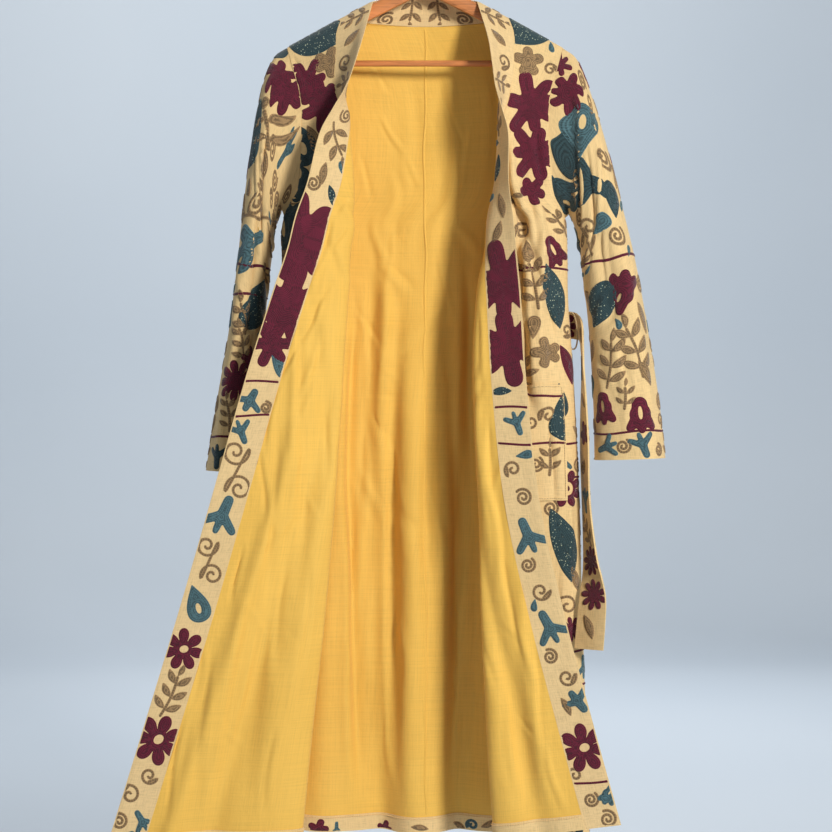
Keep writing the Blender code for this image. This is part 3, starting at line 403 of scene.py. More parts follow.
class Surface:
    """Cloth as a fine grid of points, with its flat width and length.

    Flat places are (across, down) in metres. Columns stand at even shares of
    each row's own width.
    """

    def __init__(self, grid, sign, width, down, closed=False):
        self.grid = grid
        self.sign = sign
        self.width = width
        self.down = down
        self.closed = closed
        self.seams = []
        self.renew()

    def renew(self):
        self.normals = grid_normals(self.grid, self.sign, self.closed)
        for rows, columns, axis in self.seams:
            part = self.normals[rows, columns].copy()
            flatten_normal(part, axis)
            self.normals[rows, columns] = part

    def flat(self):
        columns = self.grid.shape[1]
        steps = columns if self.closed else columns - 1
        share = np.arange(columns) / steps
        return self.width[:, None] * share[None, :], np.repeat(self.down[:, None], columns, axis=1)

    def crease(self, table, seed=0):
        """Lay soft creases: across_a, down_a, across_b, down_b, width, height."""
        across, down = self.flat()
        bump = np.zeros(across.shape)
        for index, (xa, ya, xb, yb, width, height) in enumerate(table):
            run = np.array([xb - xa, yb - ya])
            length = np.linalg.norm(run)
            run /= length
            u = (across - xa) * run[0] + (down - ya) * run[1]
            v = (across - xa) * -run[1] + (down - ya) * run[0]
            phase = u / length * CREASE_WAVER_TURNS + index * CREASE_WAVER_STEP + seed
            v = v + min(CREASE_WAVER_SHARE * length, CREASE_WAVER_MOST) * np.sin(phase)
            t = u / length
            fade = smooth_step(t / CREASE_START) * smooth_step((1.0 - t) / CREASE_END)
            grow = width * (CREASE_WIDTHS[0] + CREASE_WIDTHS[1] * t)
            ridge = np.exp(-(v / grow) ** 2)
            hollow = CREASE_SIDE_DEPTH * np.exp(-((v - CREASE_SIDE_PLACE * grow) / grow) ** 2)
            bump += height * fade * (ridge - hollow)
        self.grid = self.grid + self.normals * bump[..., None]
        self.renew()

    def crease_seen(self, table, face, seed=0):
        """Creases by where they show: x_a, y_a, x_b, y_b in pixels, width and height in mm.

        The height is towards the viewer.
        """
        rows = []
        for xa, ya, xb, yb, width, height in table:
            rows.append((*self.at_pixel(xa, ya, face), *self.at_pixel(xb, yb, face),
                         0.001 * width, 0.001 * height * face))
        self.crease(rows, seed)

    def places(self, across, down):
        """Points and normals at flat places, given as arrays."""
        i = np.interp(down, self.down, np.arange(len(self.down)))
        low = np.clip(np.floor(i).astype(int), 0, len(self.down) - 2)
        t = (i - low)[:, None]
        points = 0.0
        normals = 0.0
        columns = self.grid.shape[1]
        for row, weight in ((low, 1.0 - t), (low + 1, t)):
            if self.closed:
                j = np.mod(across / self.width[row], 1.0) * columns
                left = np.floor(j).astype(int) % columns
                right = (left + 1) % columns
            else:
                j = np.clip(across / self.width[row], 0.0, 1.0) * (columns - 1)
                left = np.clip(np.floor(j).astype(int), 0, columns - 2)
                right = left + 1
            s = (j - np.floor(j))[:, None] if self.closed else (j - left)[:, None]
            points = points + weight * ((1 - s) * self.grid[row, left] + s * self.grid[row, right])
            normals = normals + weight * ((1 - s) * self.normals[row, left] + s * self.normals[row, right])
        return points, normals / np.linalg.norm(normals, axis=1, keepdims=True)

    def width_at(self, down):
        return np.interp(down, self.down, self.width)

    def at_pixel(self, px, py, face):
        """Flat place that shows at a pixel, on the outer (1) or inner (-1) face."""
        seen = self.normals[..., 1] * face < -0.05
        depth = CAMERA_DISTANCE + self.grid[..., 1]
        scale = CAMERA_DISTANCE / depth / METRES_PER_PIXEL
        x = PIXELS / 2 + (self.grid[..., 0] - CAMERA_X) * scale
        y = PIXELS / 2 - (self.grid[..., 2] - CAMERA_Z) * scale
        distance = (x - px) ** 2 + (y - py) ** 2 + np.where(seen, 0.0, 1e6)
        i, j = np.unravel_index(np.argmin(distance), distance.shape)
        across, down = self.flat()
        return across[i, j], down[i, j]


def mirror_x(points):
    return points * np.array([-1.0, 1.0, 1.0])


def fold_grid(grid, folds):
    """Grid of a panel with its folds, which fade out towards its side seams."""
    share = np.linspace(0.0, 1.0, grid.shape[1])[None, :]
    fade = np.clip(np.minimum(share / SEAM_FADE, (1.0 - share) / SEAM_FADE), 0.0, 1.0)
    field = fold_field(folds, share, FINE_ROWS[:, None]) * fade
    return grid + grid_normals(grid, 1.0) * field[..., None]


def front_surfaces(side, rows, folds):
    """Surface of a front panel, and the grid of its band, for one side."""
    panel = []
    band = []
    widths = []
    for row in FINE_ROWS:
        section = front_section(rows, row)
        total = arc_lengths(section)[-1]
        seam = total - BAND_WIDTH
        widths.append(seam)
        panel.append(at_lengths(section, np.linspace(0.0, seam, FRONT_COLUMNS)))
        band.append(at_lengths(section, np.linspace(seam, total, BAND_COLUMNS)))
    panel = np.array(panel)
    band = np.array(band)
    panel = fold_grid(panel, folds)
    if side < 0:
        panel, band = mirror_x(panel), mirror_x(band)
    down = arc_lengths(panel[:, FRONT_COLUMNS // 2])
    surface = Surface(panel, float(side), np.array(widths), down)
    surface.seams = [(slice(0, 1), slice(None), 1),
                     (slice(int(np.searchsorted(FINE_ROWS, ARMHOLE_END_ROW)), None), slice(0, 1), 1)]
    surface.renew()
    return surface, band


def back_surface():
    grid = []
    widths = []
    for row in FINE_ROWS:
        section = back_section(row)
        total = arc_lengths(section)[-1]
        widths.append(total)
        grid.append(at_lengths(section, np.linspace(0.0, total, BACK_COLUMNS)))
    grid = np.array(grid)
    grid = fold_grid(grid, BACK_FOLDS)
    surface = Surface(grid, 1.0, np.array(widths), arc_lengths(grid[:, BACK_COLUMNS // 2]))
    low = int(np.searchsorted(FINE_ROWS, ARMHOLE_END_ROW))
    shoulder = int(np.argmin(np.abs(grid[0, :, 0] + NECK_SEAM_X)))
    surface.seams = [(slice(low, None), slice(0, 1), 1), (slice(low, None), slice(-1, None), 1),
                     (slice(0, 1), slice(0, shoulder + 1), 1), (slice(0, 1), slice(-shoulder - 1, None), 1)]
    surface.renew()
    return surface


# Free edge of the neckband, from the shoulder seam to the centre back: places
# and slopes at both ends, and the stations along it.
NECK_EDGE = ((0.0750, 0.0, -0.1228), (-0.012, 0.055, 0.016), (0.0, 0.0285, -0.1035), (-0.085, 0.0, 0.0))
NECK_STATIONS = 26
NECK_LIFT = 0.0003


def band_surface(side, front_band, back):
    """Neckband from the centre back, over the shoulder, down to the hem."""
    top = back.grid[0]
    middle = BACK_COLUMNS // 2
    half = top[middle:] if side > 0 else top[:middle + 1][::-1]
    along = arc_lengths(half)
    end = float(np.interp(NECK_SEAM_X, np.abs(half[:, 0]), along))
    neck = []
    for station in range(NECK_STATIONS):
        share = 1.0 - station / NECK_STATIONS
        seam = at_lengths(half, np.array([end * (1.0 - share)]))[0]
        free = hermite(*[np.array(value) for value in NECK_EDGE], share)
        free = free * np.array([side, 1.0, 1.0])
        seam = seam + np.array([0.0, 0.0, NECK_LIFT])
        across = np.linspace(0.0, 1.0, BAND_COLUMNS)[:, None]
        neck.append(seam + (free - seam) * across)
    grid = np.concatenate([np.array(neck), front_band])
    width = np.full(len(grid), BAND_WIDTH)
    surface = Surface(grid, float(side), width, arc_lengths(grid[:, BAND_COLUMNS // 2]))
    surface.seams = [(slice(0, 1), slice(None), 0)]
    surface.renew()
    return surface


# Sleeves: how square a ring is, where its armhole end lies, and the share of
# the armhole's run near the underarm where the ring turns upward.
RING_POWER = 0.85
ARMHOLE_POWER = 1.15
UNDERARM_SHARE = 0.15
UNDERARM_WAY = (0.10, 0.0, 1.0)
SLEEVE_TOP_ROWS = 15


def plain_ring(count, outer_x, outer_z, inner_x, inner_z, mid_y, front, back):
    outer = np.array([outer_x, mid_y, outer_z])
    inner = np.array([inner_x, mid_y, inner_z])
    angle = 2.0 * math.pi * np.arange(count) / count
    ring = 0.5 * (outer + inner) + 0.5 * (outer - inner) * np.cos(angle)[:, None]
    depth = np.sin(angle)
    reach = np.where(depth > 0.0, front, back)
    ring[:, 1] -= reach * np.sign(depth) * np.abs(depth) ** RING_POWER
    return ring


def armhole_ring(count):
    """First ring of a sleeve at +X, just outside the armhole's edge."""
    half = count // 2
    ring = []
    for depth_sign, steps in ((-1.0, range(half + 1)), (1.0, range(half - 1, 0, -1))):
        for step in steps:
            share = step / half
            row = ARMHOLE_END_ROW * share ** ARMHOLE_POWER
            point, inward = side_point(min(row, ARMHOLE_END_ROW), depth_sign)
            if step in (0, half):
                point[1] = 0.0
            outward = -inward / np.linalg.norm(inward)
            lift = smooth_step((share - (1.0 - UNDERARM_SHARE)) / UNDERARM_SHARE)
            outward = outward * (1.0 - lift) + np.array(UNDERARM_WAY) * lift
            ring.append(point + outward / np.linalg.norm(outward) * ARMHOLE_GAP)
    return np.array(ring)


def sleeve_surface(side, ring_table):
    first = armhole_ring(SLEEVE_COLUMNS)
    rings = [first] + [plain_ring(SLEEVE_COLUMNS, *row) for row in ring_table]
    places = [0.0]
    for before, after in zip(rings, rings[1:]):
        places.append(places[-1] + np.linalg.norm(after.mean(axis=0) - before.mean(axis=0)))
    length = places[-1]
    places = np.array(places) / length
    table = [np.concatenate([[place], ring.ravel()]) for place, ring in zip(places, rings)]
    shares = np.concatenate([np.linspace(0.0, places[2], SLEEVE_TOP_ROWS + 1)[:-1],
                             np.linspace(places[2], 1.0, SLEEVE_ROWS - SLEEVE_TOP_ROWS)])
    grid = np.array([read_row(table, share).reshape(SLEEVE_COLUMNS, 3) for share in shares])
    around = (np.arange(SLEEVE_COLUMNS) / SLEEVE_COLUMNS)[None, :]
    normals = grid_normals(grid, 1.0, closed=True)
    sign = 1.0 if np.sum(normals[-1] * (grid[-1] - grid[-1].mean(axis=0))) > 0.0 else -1.0
    field = fold_field(SLEEVE_FOLDS, around, shares[:, None])
    grid = grid + normals * sign * field[..., None]
    if side < 0:
        grid = mirror_x(grid)
        sign = -sign
    loop = np.concatenate([grid, grid[:, :1]], axis=1)
    width = np.linalg.norm(np.diff(loop, axis=1), axis=2).sum(axis=1)
    down = np.mean([arc_lengths(grid[:, column]) for column in range(SLEEVE_COLUMNS)], axis=0)
    return Surface(grid, sign, width, down, closed=True)


# Materials. Colours are given as seen on screen, 0 to 255.
CREAM = (232, 199, 142)
CREAM_BAND = (230, 198, 144)
YELLOW = (238, 190, 88)
MAROON = (94, 20, 42)
TEAL = (44, 66, 70)
BLUE = (72, 102, 108)
TAUPE = (148, 119, 82)
WOOD = (204, 128, 72)
# THREAD is also the colour of the pocket's edge rows, darker than the cloth, which serve as painted shade
# along those edges.
THREAD = (205, 176, 128)
SEED_STITCH = (176, 186, 160)
STAGE_COLORS = ((200, 210, 221), (206, 215, 225))
# Black and white as the linear values that shaders take.
BLACK = (0.0, 0.0, 0.0, 1.0)
WHITE = (1.0, 1.0, 1.0, 1.0)

# Scale that leaves coordinates in metres as they are.
EVEN = (1.0, 1.0, 1.0)
# Texture scales in repeats to a metre, by Blender's count for each node.
COTTON_WEAVE = 190.0
LINING_WEAVE = 230.0
SEED_SCALE = 280.0
# Cotton: how strong the slubs and the mottling are, and the sheen.
COTTON_SLUB = 0.05
COTTON_MOTTLE = 0.08
COTTON_SHEEN = 0.12
# Chain stitch: metres between rows, loop length in rows, and how far loops lean.
STITCH_ROWS = 0.0024
STITCH_PITCH = 1.5
STITCH_SLANT = 1.6


def linear(color):
    """Screen colour to the linear values that shaders take."""
    values = []
    for channel in color:
        value = channel / 255.0
        values.append(value / 12.92 if value <= 0.04045 else ((value + 0.055) / 1.055) ** 2.4)
    return (*values, 1.0)


def scaled(color, factor):
    return tuple(max(0.0, min(255.0, channel * factor)) for channel in color)


class Shader:
    """Small helper that adds and links nodes of one material."""

    def __init__(self, name, roughness, sheen=0.0, specular=0.5, metallic=0.0):
        self.material = bpy.data.materials.new(name)
        self.material.use_nodes = True
        self.nodes = self.material.node_tree.nodes
        self.links = self.material.node_tree.links
        self.surface = self.nodes["Principled BSDF"]
        self.surface.inputs["Roughness"].default_value = roughness
        self.surface.inputs["Metallic"].default_value = metallic
        self.surface.inputs["Specular IOR Level"].default_value = specular
        if sheen:
            self.surface.inputs["Sheen Weight"].default_value = sheen
            self.surface.inputs["Sheen Roughness"].default_value = 0.5

    @classmethod
    def over(cls, material):
        """Helper for more nodes on a material that is already made."""
        helper = cls.__new__(cls)
        helper.material = material
        helper.nodes = material.node_tree.nodes
        helper.links = material.node_tree.links
        helper.surface = helper.nodes["Principled BSDF"]
        return helper

    def add(self, kind, **settings):
        node = self.nodes.new(kind)
        for key, value in settings.items():
            setattr(node, key, value)
        return node

    def link(self, source, target):
        self.links.new(source, target)

    def flat_coordinates(self, scale, coords="UV"):
        source = self.add("ShaderNodeTexCoord")
        mapping = self.add("ShaderNodeMapping")
        mapping.inputs["Scale"].default_value = scale
        self.link(source.outputs[coords], mapping.inputs["Vector"])
        return mapping.outputs["Vector"]

    def noise(self, vector, scale, detail, roughness=0.5):
        node = self.add("ShaderNodeTexNoise")
        node.inputs["Scale"].default_value = scale
        node.inputs["Detail"].default_value = detail
        node.inputs["Roughness"].default_value = roughness
        self.link(vector, node.inputs["Vector"])
        return node.outputs["Fac"]

    def wave(self, vector, scale, direction, distortion):
        node = self.add("ShaderNodeTexWave", bands_direction=direction)
        node.inputs["Scale"].default_value = scale
        node.inputs["Distortion"].default_value = distortion
        node.inputs["Detail"].default_value = 1.0
        self.link(vector, node.inputs["Vector"])
        return node.outputs["Fac"]

    def weave(self, vector, scale, distortion):
        """Threads both ways across the cloth."""
        warp = self.wave(vector, scale, "X", distortion)
        weft = self.wave(vector, scale, "Y", distortion)
        return self.math("MULTIPLY", warp, weft)

    def math(self, operation, first, second):
        node = self.add("ShaderNodeMath", operation=operation)
        for socket, value in zip(node.inputs, (first, second)):
            if isinstance(value, (int, float)):
                socket.default_value = value
            else:
                self.link(value, socket)
        return node.outputs[0]

    def mix(self, factor, first, second, blend="MIX"):
        node = self.add("ShaderNodeMix", data_type="RGBA", blend_type=blend)
        for socket, value in ((node.inputs[0], factor), (node.inputs[6], first), (node.inputs[7], second)):
            if isinstance(value, (int, float, tuple)):
                socket.default_value = value
            else:
                self.link(value, socket)
        return node.outputs[2]

    def ramp(self, value, stops):
        node = self.add("ShaderNodeValToRGB")
        node.color_ramp.elements[0].position = stops[0][0]
        node.color_ramp.elements[0].color = stops[0][1]
        node.color_ramp.elements[1].position = stops[-1][0]
        node.color_ramp.elements[1].color = stops[-1][1]
        for place, color in stops[1:-1]:
            element = node.color_ramp.elements.new(place)
            element.color = color
        self.link(value, node.inputs["Fac"])
        return node.outputs["Color"]

    def color(self, socket):
        self.link(socket, self.surface.inputs["Base Color"])

    def bump(self, height, distance, strength=1.0, below=None):
        node = self.add("ShaderNodeBump")
        node.inputs["Distance"].default_value = distance
        node.inputs["Strength"].default_value = strength
        self.link(height, node.inputs["Height"])
        if below is not None:
            self.link(below, node.inputs["Normal"])
        return node.outputs["Normal"]

    def normal(self, socket):
        self.link(socket, self.surface.inputs["Normal"])


def cotton_material(name, color):
    """Plain woven cotton with slubs along both thread directions."""
    shader = Shader(name, 0.86, sheen=COTTON_SHEEN, specular=0.25)
    flat = shader.flat_coordinates(EVEN)
    weave = shader.weave(flat, COTTON_WEAVE, 1.5)
    long_slub = shader.noise(shader.flat_coordinates((900.0, 60.0, 1.0)), 1.0, 3.0)
    cross_slub = shader.noise(shader.flat_coordinates((60.0, 900.0, 1.0)), 1.0, 3.0)
    slubs = shader.math("MULTIPLY", shader.math("ADD", long_slub, cross_slub), 0.5)
    cloud = shader.noise(shader.flat_coordinates((9.0, 6.0, 1.0)), 1.0, 4.0)
    dark = linear(scaled(color, 1.0 - COTTON_SLUB * 1.8))
    light = linear(scaled(color, 1.0 + COTTON_SLUB * 0.6))
    base = shader.ramp(slubs, ((0.36, dark), (0.5, linear(color)), (0.64, light)))
    low = 1.0 - COTTON_MOTTLE
    tint = shader.ramp(cloud, ((0.3, (low, low, low * 0.98, 1.0)), (0.7, WHITE)))
    shader.color(shader.mix(1.0, base, tint, "MULTIPLY"))
    rumple = shader.noise(shader.flat_coordinates((60.0, 34.0, 1.0)), 1.0, 4.0, 0.6)
    fine = shader.bump(weave, 0.00022, 0.7)
    rough = shader.bump(slubs, 0.0006, 0.6, fine)
    shader.normal(shader.bump(rumple, 0.0026, 0.45, rough))
    return shader.material


def lining_material():
    """Yellow lining cotton: fine weave, faint rumples and small slubs."""
    shader = Shader("lining_yellow", 0.72, sheen=0.10, specular=0.3)
    flat = shader.flat_coordinates(EVEN)
    weave = shader.weave(flat, LINING_WEAVE, 1.0)
    thread = shader.noise(shader.flat_coordinates((700.0, 14.0, 1.0)), 1.0, 3.0)
    cross = shader.noise(shader.flat_coordinates((14.0, 700.0, 1.0)), 1.0, 3.0)
    threads = shader.math("MULTIPLY", shader.math("ADD", thread, cross), 0.5)
    cloud = shader.noise(shader.flat_coordinates((9.0, 5.0, 1.0)), 1.0, 5.0)
    base = shader.ramp(threads, ((0.32, linear(scaled(YELLOW, 0.95))), (0.5, linear(YELLOW)),
                                 (0.68, linear(scaled(YELLOW, 1.025)))))
    tint = shader.ramp(cloud, ((0.28, (0.93, 0.91, 0.84, 1.0)), (0.72, WHITE)))
    shader.color(shader.mix(1.0, base, tint, "MULTIPLY"))
    warped = shader.add("ShaderNodeVectorMath", operation="ADD")
    shader.link(shader.flat_coordinates((17.0, 9.0, 1.0)), warped.inputs[0])
    bend = shader.add("ShaderNodeTexNoise")
    bend.inputs["Scale"].default_value = 6.0
    shader.link(flat, bend.inputs["Vector"])
    shader.link(bend.outputs["Color"], warped.inputs[1])
    pressed = shader.add("ShaderNodeTexVoronoi", feature="SMOOTH_F1")
    pressed.inputs["Scale"].default_value = 1.0
    pressed.inputs["Smoothness"].default_value = 0.12
    shader.link(warped.outputs[0], pressed.inputs["Vector"])
    rumple = shader.noise(shader.flat_coordinates((70.0, 34.0, 1.0)), 1.0, 5.0, 0.6)
    fine = shader.bump(weave, 0.00018, 0.6)
    soft = shader.bump(rumple, 0.0024, 0.45, fine)
    shader.normal(shader.bump(pressed.outputs["Distance"], 0.0050, 0.45, soft))
    return shader.material


# Spread sets how far the tone moves between painted shade in the stitch grooves and painted highlight on the
# loops, and with the fuzz.
def thread_material(name, color, spread=0.22):
    """Chain-stitch embroidery: rows follow the outline, loops run along them.

    The UV holds the distance in from the outline and the distance along it.
    """
    shader = Shader(name, 0.78, sheen=0.25, specular=0.25)
    flat = shader.flat_coordinates(EVEN)
    split = shader.add("ShaderNodeSeparateXYZ")
    shader.link(flat, split.inputs[0])
    inward = shader.math("MULTIPLY", split.outputs[0], 2.0 * math.pi / STITCH_ROWS)
    ridge = shader.math("SINE", inward, 0.0)
    ridge = shader.math("MULTIPLY", shader.math("ADD", ridge, 1.0), 0.5)
    along = shader.math("MULTIPLY", split.outputs[1], 2.0 * math.pi / (STITCH_ROWS * STITCH_PITCH))
    slant = shader.math("ADD", along, shader.math("MULTIPLY", ridge, STITCH_SLANT))
    loop = shader.math("MULTIPLY", shader.math("ADD", shader.math("SINE", slant, 0.0), 1.0), 0.5)
    stitch = shader.math("ADD", shader.math("MULTIPLY", ridge, 0.65), shader.math("MULTIPLY", loop, 0.35))
    fuzz = shader.noise(shader.flat_coordinates((420.0, 420.0, 420.0), "Object"), 1.0, 3.0)
    cloud = shader.noise(shader.flat_coordinates((30.0, 30.0, 30.0), "Object"), 1.0, 2.0)
    mixed = shader.math("ADD", shader.math("MULTIPLY", stitch, 0.6), shader.math("MULTIPLY", fuzz, 0.4))
    # The colour follows the stitch relief: painted shade in the low grooves between rows and painted
    # highlight on the raised loops, mixed with random fuzz.
    base = shader.ramp(mixed, ((0.2, linear(scaled(color, 1.0 - spread * 1.6))), (0.5, linear(color)),
                               (0.85, linear(scaled(color, 1.0 + spread)))))
    tint = shader.ramp(cloud, ((0.35, (0.86, 0.86, 0.86, 1.0)), (0.65, WHITE)))
    shader.color(shader.mix(1.0, base, tint, "MULTIPLY"))
    shader.normal(shader.bump(mixed, 0.0007, 0.9))
    return shader.material


def speckled_material(name, color):
    """Dark stitched ground with small light seed stitches."""
    material = thread_material(name, color)
    shader = Shader.over(material)
    place = shader.flat_coordinates(EVEN, "Object")
    cells = shader.add("ShaderNodeTexVoronoi")
    cells.inputs["Scale"].default_value = SEED_SCALE
    cells.inputs["Randomness"].default_value = 1.0
    shader.link(place, cells.inputs["Vector"])
    seeds = shader.ramp(cells.outputs["Distance"], ((0.16, WHITE), (0.26, BLACK)))
    some = shader.math("GREATER_THAN", shader.noise(place, 140.0, 1.0), 0.44)
    mask = shader.math("MULTIPLY", seeds, some)
    below = shader.surface.inputs["Base Color"].links[0].from_socket
    shader.color(shader.mix(mask, below, linear(SEED_STITCH)))
    return material


def wood_material():
    shader = Shader("hanger_wood_grain", 0.38, specular=0.5)
    vector = shader.flat_coordinates((5.0, 60.0, 60.0), "Object")
    rings = shader.noise(vector, 1.0, 5.0, 0.65)
    fine = shader.noise(shader.flat_coordinates((20.0, 420.0, 420.0), "Object"), 1.0, 4.0)
    grain = shader.math("ADD", shader.math("MULTIPLY", rings, 0.65), shader.math("MULTIPLY", fine, 0.35))
    shader.color(shader.ramp(grain, ((0.35, linear(scaled(WOOD, 0.68))), (0.52, linear(WOOD)),
                                     (0.68, linear(scaled(WOOD, 1.12))))))
    shader.normal(shader.bump(grain, 0.0004, 0.35))
    return shader.material


def metal_material():
    shader = Shader("hook_steel", 0.24, metallic=1.0)
    cloud = shader.noise(shader.flat_coordinates((140.0, 140.0, 900.0), "Object"), 1.0, 3.0)
    shader.color(shader.ramp(cloud, ((0.3, (0.55, 0.55, 0.56, 1.0)), (0.7, (0.74, 0.74, 0.75, 1.0)))))
    shader.normal(shader.bump(cloud, 0.0001, 0.3))
    return shader.material


def cord_material():
    shader = Shader("carrier_thread", 0.8, sheen=0.2, specular=0.25)
    twist = shader.wave(shader.flat_coordinates(EVEN, "Object"), 260.0, "DIAGONAL", 0.5)
    shader.color(shader.ramp(twist, ((0.2, linear(scaled(THREAD, 0.7))), (0.8, linear(THREAD)))))
    shader.normal(shader.bump(twist, 0.0004, 0.8))
    return shader.material


def new_object(name, vertices, faces, materials, uvs=None, face_materials=None, sharp=60):
    """Smooth mesh object. uvs holds one flat place for each vertex."""
    mesh = bpy.data.meshes.new(name)
    mesh.from_pydata([tuple(point) for point in vertices], [], faces)
    for material in materials:
        mesh.materials.append(material)
    if uvs is not None:
        layer = mesh.uv_layers.new(name="flat")
        corner = np.zeros(len(mesh.loops), dtype=np.int32)
        mesh.loops.foreach_get("vertex_index", corner)
        layer.data.foreach_set("uv", np.array(uvs, dtype=np.float32)[corner].ravel())
    if face_materials is not None:
        mesh.polygons.foreach_set("material_index", np.array(face_materials, dtype=np.int32))
    mesh.shade_smooth()
    mesh.set_sharp_from_angle(angle=math.radians(sharp))
    mesh.update()
    thing = bpy.data.objects.new(name, mesh)
    bpy.context.scene.collection.objects.link(thing)
    return thing


def signed_volume(vertices, quads):
    corners = vertices[quads]
    first = np.einsum("ij,ij->i", corners[:, 0], np.cross(corners[:, 1], corners[:, 2]))
    second = np.einsum("ij,ij->i", corners[:, 0], np.cross(corners[:, 2], corners[:, 3]))
    return (first + second).sum()


def cloth_wall(name, surface, wall, materials, rows=None, columns=None, round_free=False,
               inner_material=None, shown="both"):
    """Shell between two offsets of a surface, or of a part of it.

    Shown is both, or the one face that isn't hidden against another cloth.
    """
    rows = rows or slice(None)
    columns = columns or slice(None)
    grid = surface.grid[rows, columns]
    normals = surface.normals[rows, columns]
    across, down = surface.flat()
    across = across[rows, columns]
    down = down[rows, columns]
    count, width = grid.shape[:2]
    closed = surface.closed and width == surface.grid.shape[1]
    low = np.full((1, width, 1), wall[0])
    high = np.full((1, width, 1), wall[1])
    if round_free:
        middle = 0.5 * (wall[0] + wall[1])
        for back_step, share in ((1, 0.30), (2, 0.78)):
            low[0, -back_step] = middle + (wall[0] - middle) * share
            high[0, -back_step] = middle + (wall[1] - middle) * share
    outer = (grid + normals * high).reshape(-1, 3)
    inner = (grid + normals * low).reshape(-1, 3)
    vertices = np.vstack([outer, inner])
    half = len(outer)
    index = np.arange(count * width).reshape(count, width)
    left = index if closed else index[:, :-1]
    right = np.roll(index, -1, axis=1) if closed else index[:, 1:]
    a, b, c, d = left[:-1], right[:-1], right[1:], left[1:]
    outer_faces = np.stack([a, b, c, d], axis=-1).reshape(-1, 4)
    inner_faces = np.stack([a, d, c, b], axis=-1).reshape(-1, 4) + half
    edges = [np.stack([left[0], left[0] + half, right[0] + half, right[0]], axis=-1),
             np.stack([right[-1], right[-1] + half, left[-1] + half, left[-1]], axis=-1)]
    if not closed:
        first, last = index[:, 0], index[:, -1]
        edges.append(np.stack([first[1:], first[1:] + half, first[:-1] + half, first[:-1]], axis=-1))
        edges.append(np.stack([last[:-1], last[:-1] + half, last[1:] + half, last[1:]], axis=-1))
    quads = np.concatenate([outer_faces, inner_faces] + edges)
    if signed_volume(vertices, quads) < 0.0:
        quads = quads[:, ::-1]
    sides = len(outer_faces)
    if shown == "outer":
        quads = np.concatenate([quads[:sides], quads[2 * sides:]])
    if shown == "inner":
        quads = quads[sides:]
    flat = np.stack([across, down], axis=-1).reshape(-1, 2)
    uvs = np.vstack([flat, flat])
    face_materials = None
    if inner_material is not None:
        materials = materials + [inner_material]
        face_materials = np.zeros(len(quads), dtype=int)
        face_materials[len(outer_faces):len(outer_faces) + len(inner_faces)] = 1
    return new_object(name, vertices, quads.tolist(), materials, uvs, face_materials)


# Creases laid in one by one, in flat metres from the side seam and the top:
# across_a, down_a, across_b, down_b, width, height.
BACK_CREASES = (
    (0.215, 0.020, 0.235, 0.420, 0.010, -0.0022),
    (0.165, 0.060, 0.180, 0.340, 0.012, 0.0020),
    (0.300, 0.030, 0.275, 0.300, 0.010, 0.0018),
    (0.340, 0.120, 0.330, 0.460, 0.014, -0.0024),
    (0.130, 0.200, 0.190, 0.330, 0.008, 0.0020),
    (0.125, 0.260, 0.200, 0.420, 0.007, -0.0022),
    (0.150, 0.330, 0.215, 0.400, 0.006, 0.0018),
    (0.250, 0.280, 0.315, 0.350, 0.008, -0.0018),
    (0.265, 0.400, 0.190, 0.500, 0.009, 0.0020),
    (0.180, 0.430, 0.175, 0.720, 0.014, -0.0030),
    (0.235, 0.480, 0.240, 0.800, 0.012, 0.0026),
    (0.270, 0.520, 0.262, 0.900, 0.016, -0.0032),
    (0.150, 0.560, 0.190, 0.620, 0.006, 0.0020),
    (0.140, 0.640, 0.180, 0.740, 0.007, -0.0022),
    (0.210, 0.700, 0.250, 0.820, 0.008, 0.0020),
    (0.190, 0.820, 0.200, 1.120, 0.012, 0.0028),
    (0.225, 0.900, 0.228, 1.170, 0.010, -0.0026),
    (0.255, 0.860, 0.250, 1.160, 0.010, 0.0024),
    (0.330, 0.700, 0.340, 1.150, 0.016, 0.0030),
    (0.100, 0.700, 0.090, 1.150, 0.016, -0.0030),
    (0.400, 0.300, 0.410, 0.700, 0.014, 0.0026),
    (0.060, 0.300, 0.070, 0.600, 0.012, 0.0024),
)
FRONT_RIGHT_CREASES = (
    (0.150, 0.230, 0.100, 0.340, 0.008, -0.0026),
    (0.165, 0.300, 0.120, 0.420, 0.007, 0.0024),
    (0.150, 0.160, 0.135, 0.290, 0.007, 0.0022),
    (0.205, 0.420, 0.185, 0.700, 0.007, -0.0036),
    (0.215, 0.560, 0.205, 0.860, 0.008, 0.0026),
    (0.175, 0.380, 0.150, 0.620, 0.012, 0.0026),
    (0.190, 0.640, 0.170, 0.900, 0.010, -0.0030),
    (0.240, 0.800, 0.232, 1.150, 0.009, -0.0034),
    (0.265, 0.880, 0.258, 1.190, 0.008, 0.0026),
    (0.200, 0.860, 0.188, 1.180, 0.016, 0.0036),
    (0.150, 0.760, 0.150, 1.140, 0.018, -0.0034),
    (0.110, 0.480, 0.120, 0.900, 0.016, 0.0032),
    (0.160, 0.500, 0.205, 0.580, 0.006, 0.0016),
    (0.180, 0.700, 0.225, 0.760, 0.006, -0.0018),
    (0.060, 0.400, 0.055, 0.900, 0.016, -0.0030),
    (0.040, 0.240, 0.060, 0.420, 0.010, 0.0026),
)
